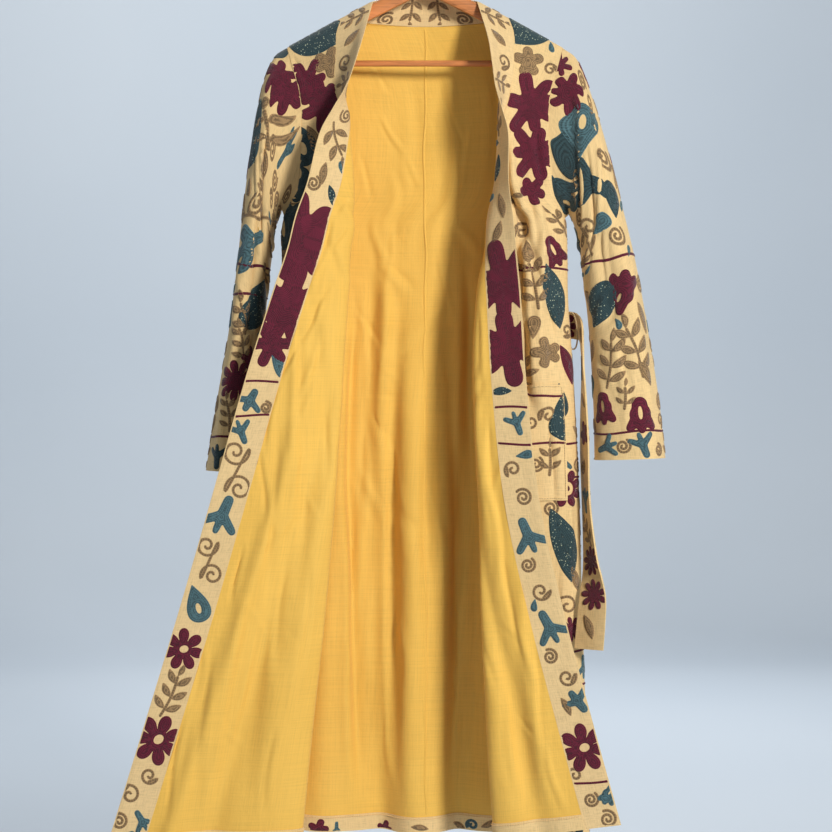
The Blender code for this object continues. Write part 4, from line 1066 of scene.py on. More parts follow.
FRONT_LEFT_CREASES = (
    (0.050, 0.080, 0.060, 0.300, 0.010, 0.0026),
    (0.080, 0.110, 0.082, 0.320, 0.009, -0.0024),
    (0.030, 0.230, 0.070, 0.330, 0.007, 0.0026),
    (0.110, 0.240, 0.090, 0.460, 0.010, 0.0028),
    (0.140, 0.340, 0.125, 0.520, 0.009, -0.0026),
    (0.180, 0.480, 0.190, 0.760, 0.008, -0.0030),
    (0.200, 0.560, 0.215, 0.900, 0.009, 0.0026),
    (0.190, 0.500, 0.170, 0.560, 0.006, 0.0018),
    (0.215, 0.620, 0.195, 0.700, 0.006, -0.0018),
    (0.235, 0.760, 0.245, 1.150, 0.010, -0.0032),
    (0.210, 0.860, 0.216, 1.180, 0.014, 0.0032),
    (0.180, 0.800, 0.176, 1.160, 0.016, -0.0034),
    (0.100, 0.600, 0.105, 1.120, 0.018, 0.0036),
    (0.050, 0.560, 0.046, 1.000, 0.014, -0.0030),
)
SLEEVE_CREASES = (
    (0.060, 0.100, 0.120, 0.200, 0.010, 0.0026),
    (0.100, 0.070, 0.150, 0.190, 0.009, -0.0028),
    (0.140, 0.120, 0.150, 0.260, 0.008, 0.0026),
    (0.090, 0.240, 0.140, 0.320, 0.008, -0.0022),
    (0.060, 0.340, 0.120, 0.420, 0.009, 0.0020),
    (0.020, 0.260, 0.080, 0.300, 0.008, 0.0018),
    (0.210, 0.080, 0.260, 0.220, 0.010, 0.0026),
    (0.250, 0.100, 0.290, 0.260, 0.009, -0.0026),
    (0.300, 0.300, 0.240, 0.400, 0.010, 0.0022),
)

# Creases that show, by pixel: x_a, y_a, x_b, y_b, width in mm, height in mm
# towards the viewer. Inner means the lining's side.
BACK_INNER_SEEN = (
    (382, 230, 386, 560, 15.0, 12.0), (386, 440, 388, 828, 15.0, 13.0), (412, 260, 412, 828, 22.0, 10.0),
    (442, 330, 440, 828, 15.0, 10.0), (352, 280, 356, 600, 10.0, -12.0), (355, 470, 358, 828, 10.0, -12.0),
    (468, 230, 469, 600, 11.0, -9.0), (469, 480, 472, 828, 11.0, -9.0),
    (378, 115, 408, 158, 4.0, 1.7), (408, 158, 420, 190, 4.0, 1.5), (363, 300, 365, 422, 5.0, 2.2),
    (365, 420, 371, 552, 5.0, 2.6), (371, 545, 369, 720, 6.0, 2.6), (355, 300, 386, 358, 4.0, -1.6),
    (359, 395, 402, 399, 4.0, -1.4), (344, 640, 353, 684, 4.0, 1.5), (471, 330, 466, 470, 6.0, -3.0),
    (463, 470, 458, 610, 6.0, -3.0), (457, 560, 457, 805, 4.5, 2.6), (395, 430, 413, 520, 4.0, 1.4),
    (432, 470, 447, 560, 4.0, -1.5), (398, 600, 411, 694, 5.0, 1.5), (436, 640, 430, 742, 5.0, -1.5),
    (386, 700, 396, 800, 5.0, 1.3), (441, 250, 452, 336, 4.0, 1.5), (401, 215, 388, 296, 4.0, 1.4),
    (356, 150, 374, 204, 4.0, -1.5), (472, 116, 455, 204, 4.5, 1.6), (446, 96, 462, 160, 4.0, -1.4),
    (368, 60, 392, 96, 4.0, -1.2), (436, 330, 447, 402, 3.5, 1.2), (376, 360, 400, 384, 3.5, 1.2),
    (380, 470, 402, 500, 3.5, -1.2), (384, 560, 404, 580, 3.5, 1.2), (444, 590, 430, 640, 3.5, 1.2),
)
FRONT_RIGHT_INNER_SEEN = (
    (350, 196, 329, 214, 3.5, -2.0), (332, 214, 308, 264, 4.0, -1.8), (347, 223, 325, 258, 4.0, 1.8),
    (326, 256, 309, 298, 4.0, 1.6), (339, 278, 304, 322, 4.0, -1.8), (322, 300, 296, 350, 3.5, -2.4),
    (298, 340, 279, 386, 3.5, -2.8), (280, 380, 262, 452, 3.5, -3.0), (263, 446, 261, 528, 3.5, -3.0),
    (272, 520, 267, 562, 3.5, -2.4), (242, 540, 233, 610, 3.5, -2.6), (188, 706, 162, 828, 4.0, -3.0),
    (205, 640, 190, 710, 4.0, -2.0), (318, 330, 296, 420, 5.0, 2.0), (300, 430, 288, 540, 5.0, 2.0),
    (286, 560, 262, 690, 6.0, 2.2), (312, 560, 296, 700, 5.0, -2.0), (250, 640, 226, 780, 6.0, 2.2),
    (276, 720, 262, 826, 5.0, -2.2), (330, 400, 322, 500, 5.0, -1.8), (240, 600, 268, 640, 3.5, 1.3),
    (300, 486, 322, 520, 3.5, 1.3), (218, 720, 246, 750, 3.5, 1.3), (282, 620, 306, 646, 3.5, -1.3),
)
FRONT_LEFT_INNER_SEEN = (
    (480, 300, 490, 400, 4.0, 1.6), (486, 410, 500, 520, 4.0, -2.0), (505, 540, 521, 664, 4.0, -2.2),
    (492, 480, 500, 600, 5.0, 1.8), (530, 640, 548, 760, 4.0, -2.0), (505, 680, 520, 806, 5.0, 2.0),
    (516, 600, 536, 700, 5.0, 1.8), (500, 620, 522, 640, 3.5, 1.3), (512, 716, 540, 738, 3.5, -1.3),
    (545, 740, 566, 820, 4.5, 1.8), (484, 640, 496, 700, 4.0, -1.6),
)
FRONT_LEFT_OUTER_SEEN = (
    (511, 138, 517, 256, 6.0, -13.0), (516, 226, 523, 340, 6.0, -13.0), (521, 310, 533, 410, 6.0, -12.0),
    (528, 228, 536, 264, 4.0, -3.0), (535, 258, 546, 304, 4.0, -3.4), (544, 298, 557, 342, 4.0, -3.0),
    (524, 150, 527, 230, 5.0, 2.6), (541, 120, 545, 196, 4.5, -2.4), (548, 400, 552, 520, 4.5, -2.6),
    (566, 480, 570, 600, 5.0, 2.4), (556, 560, 566, 680, 5.0, -2.6), (552, 200, 560, 240, 4.0, 2.2),
)
FRONT_RIGHT_OUTER_SEEN = (
    (273, 60, 312, 88, 4.0, -2.4), (300, 110, 268, 190, 5.0, -3.0), (318, 130, 296, 210, 5.0, 2.4),
    (290, 180, 272, 262, 4.5, 2.4),
)
SLEEVE_LEFT_SEEN = (
    (604, 205, 612, 332, 6.0, 2.4), (612, 326, 628, 456, 6.0, 2.6), (565, 84, 575, 166, 11.0, -4.5),
    (573, 146, 577, 250, 11.0, -5.0), (546, 184, 570, 198, 6.0, 3.0), (550, 206, 573, 212, 6.0, -3.0),
    (549, 226, 570, 218, 6.0, 3.0), (556, 236, 566, 262, 6.0, -2.6), (590, 110, 600, 190, 7.0, 1.8),
    (586, 250, 592, 330, 7.0, -2.2), (636, 330, 646, 420, 7.0, -2.0), (600, 440, 650, 446, 6.0, 0.8),
    (596, 356, 606, 420, 7.0, 1.8), (620, 250, 632, 310, 7.0, 1.8),
)
SLEEVE_RIGHT_SEEN = (
    (262, 96, 254, 180, 7.0, 2.4), (276, 110, 262, 196, 7.0, -3.4), (262, 190, 250, 280, 7.0, -2.8),
    (268, 200, 262, 236, 6.5, 2.2), (244, 290, 232, 380, 6.5, 2.2), (254, 330, 240, 400, 6.5, -2.2),
    (228, 390, 222, 460, 6.5, -1.8),
)

# Tables of each side of the coat, by the wearer's right and left.
SIDES = {
    "right": {"side": -1, "rows": FRONT_RIGHT_ROWS, "folds": FRONT_RIGHT_FOLDS,
              "creases": FRONT_RIGHT_CREASES, "inner_seen": FRONT_RIGHT_INNER_SEEN,
              "outer_seen": FRONT_RIGHT_OUTER_SEEN, "rings": SLEEVE_RIGHT_RINGS,
              "sleeve_seen": SLEEVE_RIGHT_SEEN},
    "left": {"side": 1, "rows": FRONT_LEFT_ROWS, "folds": FRONT_LEFT_FOLDS,
             "creases": FRONT_LEFT_CREASES, "inner_seen": FRONT_LEFT_INNER_SEEN,
             "outer_seen": FRONT_LEFT_OUTER_SEEN, "rings": SLEEVE_LEFT_RINGS,
             "sleeve_seen": SLEEVE_LEFT_SEEN},
}

CUTS = {}


def dress(thing, node, slot, flat, area=None, held="hung", rests_on=("hanger_arms",)):
    """Put a cloth shell on its body, in place of its solid, and keep its cut."""
    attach(thing, "root")
    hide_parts(node)
    CUTS[thing.name] = {"thing": thing, "flat": flat, "area": area, "held": held,
                        "rests_on": list(rests_on), "with_pieces": []}
    return thing


def cut_of(surface, rows=slice(None)):
    """Greatest width square to the length, greatest length, and area, measured along the creased cloth."""
    grid = surface.grid[rows]
    if surface.closed:
        grid = np.concatenate([grid, grid[:, :1]], axis=1)
    across, down = np.diff(grid, axis=1), np.diff(grid, axis=0)
    strips = np.linalg.norm(np.cross(across[:-1], down[:, :-1]), axis=2).sum(axis=1)
    steps = np.linalg.norm(down, axis=2)
    return (float((strips / steps.mean(axis=1)).max()), float(steps.sum(axis=0).max())), float(strips.sum())


def dress_panel(surface, body, hem_name, materials):
    """Outer cloth, lining and hem facing of one panel."""
    hem = slice(int(np.searchsorted(FINE_ROWS, HEM_ROW - 1e-6)), None)
    flat, area = cut_of(surface)
    dress(cloth_wall(body + "_cloth", surface, OUTER_WALL, [materials["cotton"]], shown="outer"),
          body, "outer_cotton", flat, area)
    dress(cloth_wall(body + "_lining_cloth", surface, LINING_WALL, [materials["lining"]], shown="inner"),
          body + "_lining", "lining_cotton", flat, area)
    dress(cloth_wall(hem_name + "_cloth", surface, HEM_WALL, [materials["cotton"]], rows=hem),
          hem_name, "outer_cotton", *cut_of(surface, hem))


def build_cloth(materials):
    """All the panels, linings, bands and sleeves, and their surfaces by name."""
    back = back_surface()
    back.crease(BACK_CREASES, 0.4)
    back.crease_seen(BACK_INNER_SEEN, -1, 1.1)
    surfaces = {"back": back}
    dress_panel(back, "back", "hem_back", materials)
    for name, tables in SIDES.items():
        side = tables["side"]
        front, front_band = front_surfaces(side, tables["rows"], tables["folds"])
        front.crease(tables["creases"], 0.7 * side)
        front.crease_seen(tables["inner_seen"], -1, 0.3)
        front.crease_seen(tables["outer_seen"], 1, 0.9)
        surfaces["front_" + name] = front
        dress_panel(front, "front_" + name, "hem_" + name, materials)
        band = band_surface(side, front_band, back)
        surfaces["band_" + name] = band
        dress(cloth_wall("band_" + name + "_cloth", band, BAND_WALL, [materials["band"]], round_free=True),
              "band_" + name, "band_cotton", (BAND_WIDTH, float(band.down[-1])))
        sleeve = sleeve_surface(side, tables["rings"])
        sleeve.crease(SLEEVE_CREASES, 0.3 * side)
        sleeve.crease_seen(tables["sleeve_seen"], 1, 0.5)
        surfaces["sleeve_" + name] = sleeve
        dress(cloth_wall("sleeve_" + name + "_cloth", sleeve, SLEEVE_WALL, [materials["cotton"]],
                         inner_material=materials["lining"]),
              "sleeve_" + name, "outer_cotton", *cut_of(sleeve))
    surfaces["pocket"] = build_pocket(surfaces["front_left"], materials)
    return surfaces

# Pocket: where it lies on the left front, in rows and shares of its width.
POCKET_ROWS = (10, 11)
POCKET_SHARES = (0.150, 0.560)


def build_pocket(front, materials):
    """Patch pocket made from the points of the left front, moved out."""
    top = int(np.searchsorted(FINE_ROWS, POCKET_ROWS[0]))
    low = int(np.searchsorted(FINE_ROWS, POCKET_ROWS[1])) + 1
    first = int(POCKET_SHARES[0] * FRONT_COLUMNS)
    last = int(POCKET_SHARES[1] * FRONT_COLUMNS)
    rows = slice(top, low)
    columns = slice(first, last)
    thing = cloth_wall("pocket_left_cloth", front, POCKET_WALL, [materials["cotton"]],
                       rows=rows, columns=columns)
    wide = float(front.width[top] * (POCKET_SHARES[1] - POCKET_SHARES[0]))
    tall = float(front.down[low] - front.down[top])
    dress(thing, "pocket_left", "outer_cotton", (wide, tall), held="laid", rests_on=("front_left_cloth",))
    widths = front.width[rows] * (last - first) / FRONT_COLUMNS
    patch = Surface(front.grid[rows, columns], front.sign, widths, front.down[rows] - front.down[top])
    patch.normals = front.normals[rows, columns]
    return patch


def belt_end_stations(table, side):
    places = np.arange(len(table), dtype=float)
    rows = [(place, *row) for place, row in zip(places, table)]
    stations = []
    steps = 9 * (len(table) - 1)
    for step in range(steps + 1):
        x, y, z, share, facing = read_row(rows, places[-1] * step / steps)
        angle = math.radians(facing)
        upright = math.cos(min(angle, 0.5 * math.pi))
        if facing <= 90:
            width = np.array([0.0, -math.sin(angle), upright])
        else:
            turn = math.radians(facing - 90)
            width = np.array([math.sin(turn), -math.cos(turn), 0.0])
        flip = np.array([side, 1.0, 1.0])
        stations.append((np.array([x, y, z]) * flip, 0.5 * BELT_WIDTH * share * width * flip))
    return stations


def build_belt(back, materials):
    """Belt across the back, over its folds, with two hanging ends."""
    left = belt_end_stations(BELT_LEFT_END, 1)
    right = belt_end_stations(BELT_RIGHT_END, -1)
    section = back_section(BELT_ROW)
    length = arc_lengths(section)[-1]
    shares = np.linspace(*BELT_SHARES, BELT_STATIONS)
    run = at_lengths(section, shares * length)
    folds = fold_field(BACK_FOLDS, shares, np.full(BELT_STATIONS, BELT_ROW))
    lifts = OUTER_WALL[1] + BELT_CLEARANCE + np.maximum(0.0, folds)
    tangent = np.gradient(run, axis=0)
    outward = np.cross(tangent, np.array([0.0, 0.0, -1.0]))
    outward /= np.linalg.norm(outward, axis=1, keepdims=True)
    base = float(np.interp(BELT_ROW, FINE_ROWS, back.down))
    for step in np.linspace(-0.55, 0.55, 7) * BELT_WIDTH:
        across = shares * float(back.width_at(base + step))
        cloth = back.places(across, np.full(BELT_STATIONS, base + step))[0]
        rise = np.sum((cloth - run) * outward, axis=1)
        lifts = np.maximum(lifts, rise + OUTER_WALL[1] + BELT_CLEARANCE)
    lifts = np.convolve(np.pad(lifts, 2, mode="edge"), np.ones(5) / 5.0, "valid") + BELT_EASE
    points = run + outward * lifts[:, None]
    across = [(point, np.array([0.0, 0.0, 0.5 * BELT_WIDTH])) for point in points]
    stations = list(reversed(right)) + across + left
    centres = np.array([station[0] for station in stations])
    widths = np.array([station[1] for station in stations])
    down = arc_lengths(centres)
    columns = np.linspace(-1.0, 1.0, 15)
    wobble = 0.0010 * np.sin(down * 34.0)[:, None] * np.sin(columns * 2.1 + 0.4)[None, :]
    grid = centres[:, None, :] + widths[:, None, :] * columns[None, :, None]
    belt = Surface(grid, 1.0, np.full(len(grid), BELT_WIDTH), down)
    belt.grid = belt.grid + belt.normals * wobble[..., None]
    belt.renew()
    half = 0.5 * BELT_THICKNESS
    thing = cloth_wall("belt_cloth", belt, (-half, half), [materials["cotton"]])
    dress(thing, "belt", "outer_cotton", (BELT_WIDTH, float(down[-1])),
          rests_on=("carrier_left", "carrier_right"))
    return belt


# Embroidery. A motif is made of filled outlines and ribbons about its middle,
# in shares of its size, with u to the right and v upward.
STITCH_HEIGHT = 0.0011
STITCH_SINK = 0.0003
STITCH_SHOULDER = 0.0011
INNER_SPACING = 0.0042
OUTLINE_SPACING = 0.0018
RIBBON_HALF = 0.0024
LINE_HALF = 0.0019
EDGE_MARGIN = 0.0004
WELT_HALF = 0.0020
STITCH_ROW_HALF = 0.0006

# Lobes: angle in degrees, length, half width at the root, half width at the tip.
LOBE_TABLES = {
    "bloom_a": ((92, 0.53, 0.10, 0.12), (40, 0.50, 0.09, 0.11), (-4, 0.40, 0.09, 0.10),
                (-50, 0.53, 0.10, 0.12), (-98, 0.46, 0.09, 0.10), (-146, 0.53, 0.10, 0.11),
                (158, 0.44, 0.09, 0.11)),
    "bloom_b": ((84, 0.50, 0.11, 0.13), (30, 0.53, 0.09, 0.11), (-20, 0.43, 0.08, 0.10),
                (-66, 0.54, 0.10, 0.12), (-120, 0.47, 0.11, 0.13), (-172, 0.53, 0.09, 0.11),
                (134, 0.46, 0.09, 0.11)),
    "bloom_c": ((90, 0.52, 0.10, 0.12), (32, 0.46, 0.10, 0.13), (-32, 0.53, 0.10, 0.12),
                (-90, 0.46, 0.10, 0.12), (-146, 0.52, 0.10, 0.12), (152, 0.47, 0.10, 0.12)),
    "prong": ((90, 0.48, 0.14, 0.12), (-90, 0.48, 0.10, 0.08), (-38, 0.55, 0.12, 0.10),
              (-142, 0.55, 0.12, 0.10)),
    "prong_wide": ((90, 0.44, 0.15, 0.12), (24, 0.54, 0.12, 0.10), (156, 0.54, 0.12, 0.10),
                   (-90, 0.42, 0.16, 0.13)),
    "clover": ((70, 0.48, 0.14, 0.16), (0, 0.46, 0.13, 0.16), (-70, 0.48, 0.14, 0.16),
               (150, 0.44, 0.13, 0.15), (-150, 0.44, 0.13, 0.15)),
    "tulip": ((88, 0.50, 0.16, 0.13), (48, 0.54, 0.14, 0.12), (132, 0.54, 0.14, 0.12),
              (-90, 0.50, 0.22, 0.10)),
    "bell": ((90, 0.46, 0.24, 0.20), (-50, 0.54, 0.22, 0.11), (-90, 0.50, 0.20, 0.10),
             (-130, 0.54, 0.22, 0.11)),
}
LOBE_CORES = {"bloom_a": 0.22, "bloom_b": 0.23, "bloom_c": 0.22, "prong": 0.15, "prong_wide": 0.17,
              "clover": 0.15, "tulip": 0.26, "bell": 0.28}


def lobes_outline(lobes, core):
    """Outline of rounded lobes that grow from a round core."""
    angles = np.linspace(0.0, 2.0 * math.pi, 720, endpoint=False)
    radius = np.full(angles.shape, core)
    for angle, length, root, tip in lobes:
        turn = np.mod(angles - math.radians(angle) + math.pi, 2.0 * math.pi) - math.pi
        side = np.abs(np.sin(turn))
        ahead = np.cos(turn)
        reach = length - tip
        under = tip ** 2 - (reach * side) ** 2
        front = reach * ahead + np.sqrt(np.maximum(under, 0.0))
        circle = np.where((under >= 0.0) & (ahead > 0.0), front, 0.0)
        slope = (tip - root) / reach
        flank = root / np.maximum(side - slope * ahead, 1e-6)
        flank = np.where((ahead > 0.0) & (flank * ahead <= reach), flank, 0.0)
        radius = np.maximum(radius, np.maximum(circle, flank))
    kernel = 17
    padded = np.concatenate([radius[-kernel:], radius, radius[:kernel]])
    radius = np.convolve(padded, np.ones(kernel) / kernel, "same")[kernel:-kernel]
    return np.stack([radius * np.cos(angles), radius * np.sin(angles)], axis=1)


def petal_outline(petals, inner):
    angles = np.linspace(0.0, 2.0 * math.pi, 720, endpoint=False)
    radius = 0.5 * (inner + (1.0 - inner) * np.abs(np.sin(0.5 * petals * angles)) ** 0.55)
    return np.stack([radius * np.cos(angles), radius * np.sin(angles)], axis=1)


def drop_outline(width, bend=0.0, point=1.3):
    """Drop with its point upward, of length 1, bent sideways."""
    turn = np.linspace(0.0, 2.0 * math.pi, 240, endpoint=False)
    v = -0.5 * np.cos(turn)
    u = 0.5 * width * np.sin(turn) * np.abs(np.cos(0.5 * turn)) ** point * 1.55
    return np.stack([u + bend * (v + 0.5) ** 2, v], axis=1)


def lens_outline(width, bend=0.0):
    """Leaf pointed at both ends, of length 1, bent sideways."""
    v = np.linspace(-0.5, 0.5, 90)
    half = 0.5 * width * np.cos(v * math.pi) ** 0.8
    middle = bend * (1.0 - 4.0 * v * v)
    right = np.stack([middle + half, v], axis=1)
    left = np.stack([middle - half, v], axis=1)
    return np.concatenate([right, left[-2:0:-1]])


def ellipse(u, v, width, height, turn=0.0):
    angle = np.linspace(0.0, 2.0 * math.pi, 40, endpoint=False)
    x = 0.5 * width * np.cos(angle)
    y = 0.5 * height * np.sin(angle)
    c, s = math.cos(math.radians(turn)), math.sin(math.radians(turn))
    return np.stack([u + c * x - s * y, v + s * x + c * y], axis=1)


def spiral_path(turns, tail):
    angle = np.linspace(0.35, turns * 2.0 * math.pi, 120)
    radius = 0.42 * angle / angle[-1]
    path = np.stack([radius * np.cos(angle), radius * np.sin(angle)], axis=1)
    if tail:
        end = path[-1]
        reach = np.linspace(0.0, 1.0, 20)[1:, None]
        stem = np.concatenate([0.10 * np.sin(reach * 1.6), tail * reach], axis=1)
        path = np.concatenate([path, end + stem])
    return path


def scroll_path():
    """Two spirals that turn into each other, one above and one below."""
    upper = spiral_path(1.7, 0.0)
    upper = upper / 0.42 * 0.21
    upper = upper @ turning(90.0 - math.degrees(1.7 * 2.0 * math.pi) - 90.0) + np.array([0.0, 0.27])
    lower = -upper
    leave = (upper[-1] - upper[-4]) * 8.0
    arrive = (lower[-4] - lower[-1]) * 8.0
    bridge = hermite_run(upper[-1], leave, lower[-1], arrive, 24)
    return np.concatenate([upper, bridge[1:-1], lower[::-1]])


def turning(degrees):
    c, s = math.cos(math.radians(degrees)), math.sin(math.radians(degrees))
    return np.array([[c, s], [-s, c]])


def leaf_on(u, v, length, width, angle, bend=0.06):
    """Leaf that starts at a point and grows along an angle from the right."""
    shape = lens_outline(width / length, bend) + np.array([0.0, 0.5])
    return shape * length @ turning(angle - 90.0) + np.array([u, v])


def branch_parts(pairs, sway, leaf):
    """Stem with leaves left and right and one at its tip."""
    v = np.linspace(-0.5, 0.38, 40)
    stem = np.stack([sway * np.sin((v + 0.5) * 3.4), v], axis=1)
    leaves = []
    for index in range(pairs):
        share = (index + 0.7) / (pairs + 0.5)
        u, height = stem[int(share * 39)]
        leaves.append(leaf_on(u, height, leaf, leaf * 0.42, 38 + 6 * index))
        leaves.append(leaf_on(u, height + 0.03, leaf * 0.92, leaf * 0.42, 146 - 5 * index, -0.06))
    leaves.append(leaf_on(stem[-1][0], stem[-1][1] - 0.02, leaf * 0.75, leaf * 0.34, 84))
    return leaves, [stem]


# Shapes of the motifs, of size 1: fills as (outline, holes), ribbons as paths,
# and branches as pairs of leaves, sway and leaf length.
LOBE_HOLES = {"bell": [ellipse(0.0, 0.04, 0.09, 0.34)], "tulip": [ellipse(-0.05, -0.10, 0.07, 0.20, -15)]}
PLAIN_FILLS = {
    "daisy": [(petal_outline(7, 0.42), [ellipse(0.02, 0.0, 0.20, 0.16)])],
    "aster": [(petal_outline(9, 0.50), [])],
    "ring": [(petal_outline(8, 0.55), [ellipse(0.0, 0.0, 0.34, 0.34)]), (ellipse(0.0, 0.0, 0.16, 0.16), [])],
    "drop": [(drop_outline(0.54), [ellipse(0.0, -0.14, 0.12, 0.26)])],
    "comma": [(drop_outline(0.46, 0.30), [])],
    "paisley": [(drop_outline(0.56, 0.14, 1.0), [])],
    "lens": [(lens_outline(0.34, 0.06), [])],
    "leaf": [(lens_outline(0.38, 0.05), [])],
}
PLAIN_RIBBONS = {"spiral": spiral_path(2.2, 0.0), "curl": spiral_path(1.6, 0.5), "scroll": scroll_path()}
BRANCHES = {"branch": (3, 0.05, 0.36), "fern": (2, 0.03, 0.46)}


def motif_parts(kind):
    """Fills and ribbons of a motif of size 1."""
    if kind in LOBE_TABLES:
        return [(lobes_outline(LOBE_TABLES[kind], LOBE_CORES[kind]), LOBE_HOLES.get(kind, []))], []
    if kind in BRANCHES:
        leaves, stems = branch_parts(*BRANCHES[kind])
        return [(leaf, []) for leaf in leaves], stems
    if kind in PLAIN_RIBBONS:
        return [], [PLAIN_RIBBONS[kind]]
    return PLAIN_FILLS[kind], []


def even_loop(points, spacing):
    """Closed outline resampled at even steps."""
    loop = np.vstack([points, points[:1]])
    along = arc_lengths(loop)
    count = max(8, int(round(along[-1] / spacing)))
    places = np.linspace(0.0, along[-1], count, endpoint=False)
    return np.stack([np.interp(places, along, loop[:, axis]) for axis in range(2)], axis=1)


def even_line(points, spacing):
    along = arc_lengths(points)
    count = max(4, int(round(along[-1] / spacing)))
    places = np.linspace(0.0, along[-1], count + 1)
    return np.stack([np.interp(places, along, points[:, axis]) for axis in range(2)], axis=1)


def inside_loops(points, loops):
    """Whether points lie inside an odd number of closed loops."""
    found = np.zeros(len(points), dtype=bool)
    for loop in loops:
        ax, ay = loop[:, 0], loop[:, 1]
        bx, by = np.roll(ax, -1), np.roll(ay, -1)
        px, py = points[:, :1], points[:, 1:]
        crosses = (ay > py) != (by > py)
        at = (bx - ax) * (py - ay) / np.where(by == ay, 1e-12, by - ay) + ax
        found ^= (np.sum(crosses & (px < at), axis=1) % 2).astype(bool)
    return found


def loop_distance(points, loops):
    """Distance to the nearest loop and the place along it."""
    best = np.full(len(points), 1e9)
    where = np.zeros(len(points))
    for loop in loops:
        start = loop
        run = np.roll(loop, -1, axis=0) - loop
        length = np.maximum(np.linalg.norm(run, axis=1), 1e-12)
        along = np.concatenate([[0.0], np.cumsum(length)[:-1]])
        offset = points[:, None, :] - start[None]
        share = np.clip(np.sum(offset * run[None], axis=2) / length ** 2, 0.0, 1.0)
        gap = np.linalg.norm(offset - share[..., None] * run[None], axis=2)
        nearest = np.argmin(gap, axis=1)
        rows = np.arange(len(points))
        closer = gap[rows, nearest] < best
        best = np.where(closer, gap[rows, nearest], best)
        where = np.where(closer, along[nearest] + share[rows, nearest] * length[nearest], where)
    return best, where


def fill_mesh(outline, holes):
    """Flat triangles of an outline with holes: places, inward and along, faces."""
    loops = [even_loop(outline, OUTLINE_SPACING)] + [even_loop(hole, OUTLINE_SPACING) for hole in holes]
    edge_points = np.concatenate(loops)
    low = edge_points.min(axis=0)
    high = edge_points.max(axis=0)
    rings = []
    for number, loop in enumerate(loops):
        run = np.roll(loop, -1, axis=0) - np.roll(loop, 1, axis=0)
        normal = np.stack([-run[:, 1], run[:, 0]], axis=1)
        normal /= np.maximum(np.linalg.norm(normal, axis=1, keepdims=True), 1e-12)
        area = np.sum(loop[:, 0] * np.roll(loop[:, 1], -1) - np.roll(loop[:, 0], -1) * loop[:, 1])
        facing = 1.0 if (area > 0.0) == (number == 0) else -1.0
        rings.append(loop + normal * facing * STITCH_SHOULDER)
    ring = np.concatenate(rings)
    gap = loop_distance(ring, loops)[0]
    ring = ring[(gap > STITCH_SHOULDER * 0.85) & inside_loops(ring, loops)]
    step = INNER_SPACING
    xs = np.arange(low[0], high[0] + step, step)
    ys = np.arange(low[1], high[1] + step, step * 0.87)
    grid_x, grid_y = np.meshgrid(xs, ys)
    grid_x[1::2] += 0.5 * step
    lattice = np.stack([grid_x.ravel(), grid_y.ravel()], axis=1)
    gap = loop_distance(lattice, loops)[0]
    lattice = lattice[(gap > STITCH_SHOULDER * 2.1) & inside_loops(lattice, loops)]
    points = np.concatenate([edge_points, ring, lattice])
    edges = []
    start = 0
    for loop in loops:
        edges += [(start + i, start + (i + 1) % len(loop)) for i in range(len(loop))]
        start += len(loop)
    result = delaunay_2d_cdt([Vector(point) for point in points], edges, [], 0, 1e-7)
    flat = np.array([tuple(point) for point in result[0]])
    faces = np.array([face for face in result[2] if len(face) == 3])
    centres = flat[faces].mean(axis=1)
    faces = faces[inside_loops(centres, loops)]
    inward, along = loop_distance(flat, loops)
    crown = np.sqrt(np.clip(inward / STITCH_SHOULDER, 0.0, 1.0))
    height = crown * (STITCH_HEIGHT + STITCH_SINK) - STITCH_SINK
    return flat, np.stack([inward, along], axis=1), height, faces


def ribbon_mesh(path, half):
    """Flat quads of a rounded strip along a path, with round ends."""
    path = even_line(path, OUTLINE_SPACING * 1.2)
    run = np.gradient(path, axis=0)
    run /= np.maximum(np.linalg.norm(run, axis=1, keepdims=True), 1e-12)
    side = np.stack([-run[:, 1], run[:, 0]], axis=1)
    along = arc_lengths(path)
    from_end = np.minimum(along, along[-1] - along)
    taper = np.sqrt(np.clip(1.0 - (1.0 - np.minimum(from_end / half, 1.0)) ** 2, 0.02, 1.0))
    shares = np.array([-1.0, -0.55, 0.0, 0.55, 1.0])
    flank = 0.75 * STITCH_HEIGHT
    heights = np.array([-STITCH_SINK, flank, STITCH_HEIGHT, flank, -STITCH_SINK])
    flat = path[:, None, :] + side[:, None, :] * (shares[None, :, None] * half * taper[:, None, None])
    count = len(path)
    height = np.repeat(heights[None, :], count, axis=0)
    height[0] = -STITCH_SINK
    height[-1] = -STITCH_SINK
    inward = half * (1.0 - np.abs(shares))[None, :] * taper[:, None]
    uv = np.stack([inward, np.repeat(along[:, None], 5, axis=1)], axis=2)
    faces = []
    for i in range(count - 1):
        for j in range(4):
            a = i * 5 + j
            faces += [(a, a + 1, a + 6), (a, a + 6, a + 5)]
    return flat.reshape(-1, 2), uv.reshape(-1, 2), height.ravel(), np.array(faces)


MOTIF_CACHE = {}


def motif_mesh(kind, size):
    key = (kind, round(size, 3))
    if key not in MOTIF_CACHE:
        fills, ribbons = motif_parts(kind)
        pieces = [fill_mesh(outline * size, [hole * size for hole in holes]) for outline, holes in fills]
        pieces += [ribbon_mesh(path * size, RIBBON_HALF) for path in ribbons]
        MOTIF_CACHE[key] = pieces
    return MOTIF_CACHE[key]


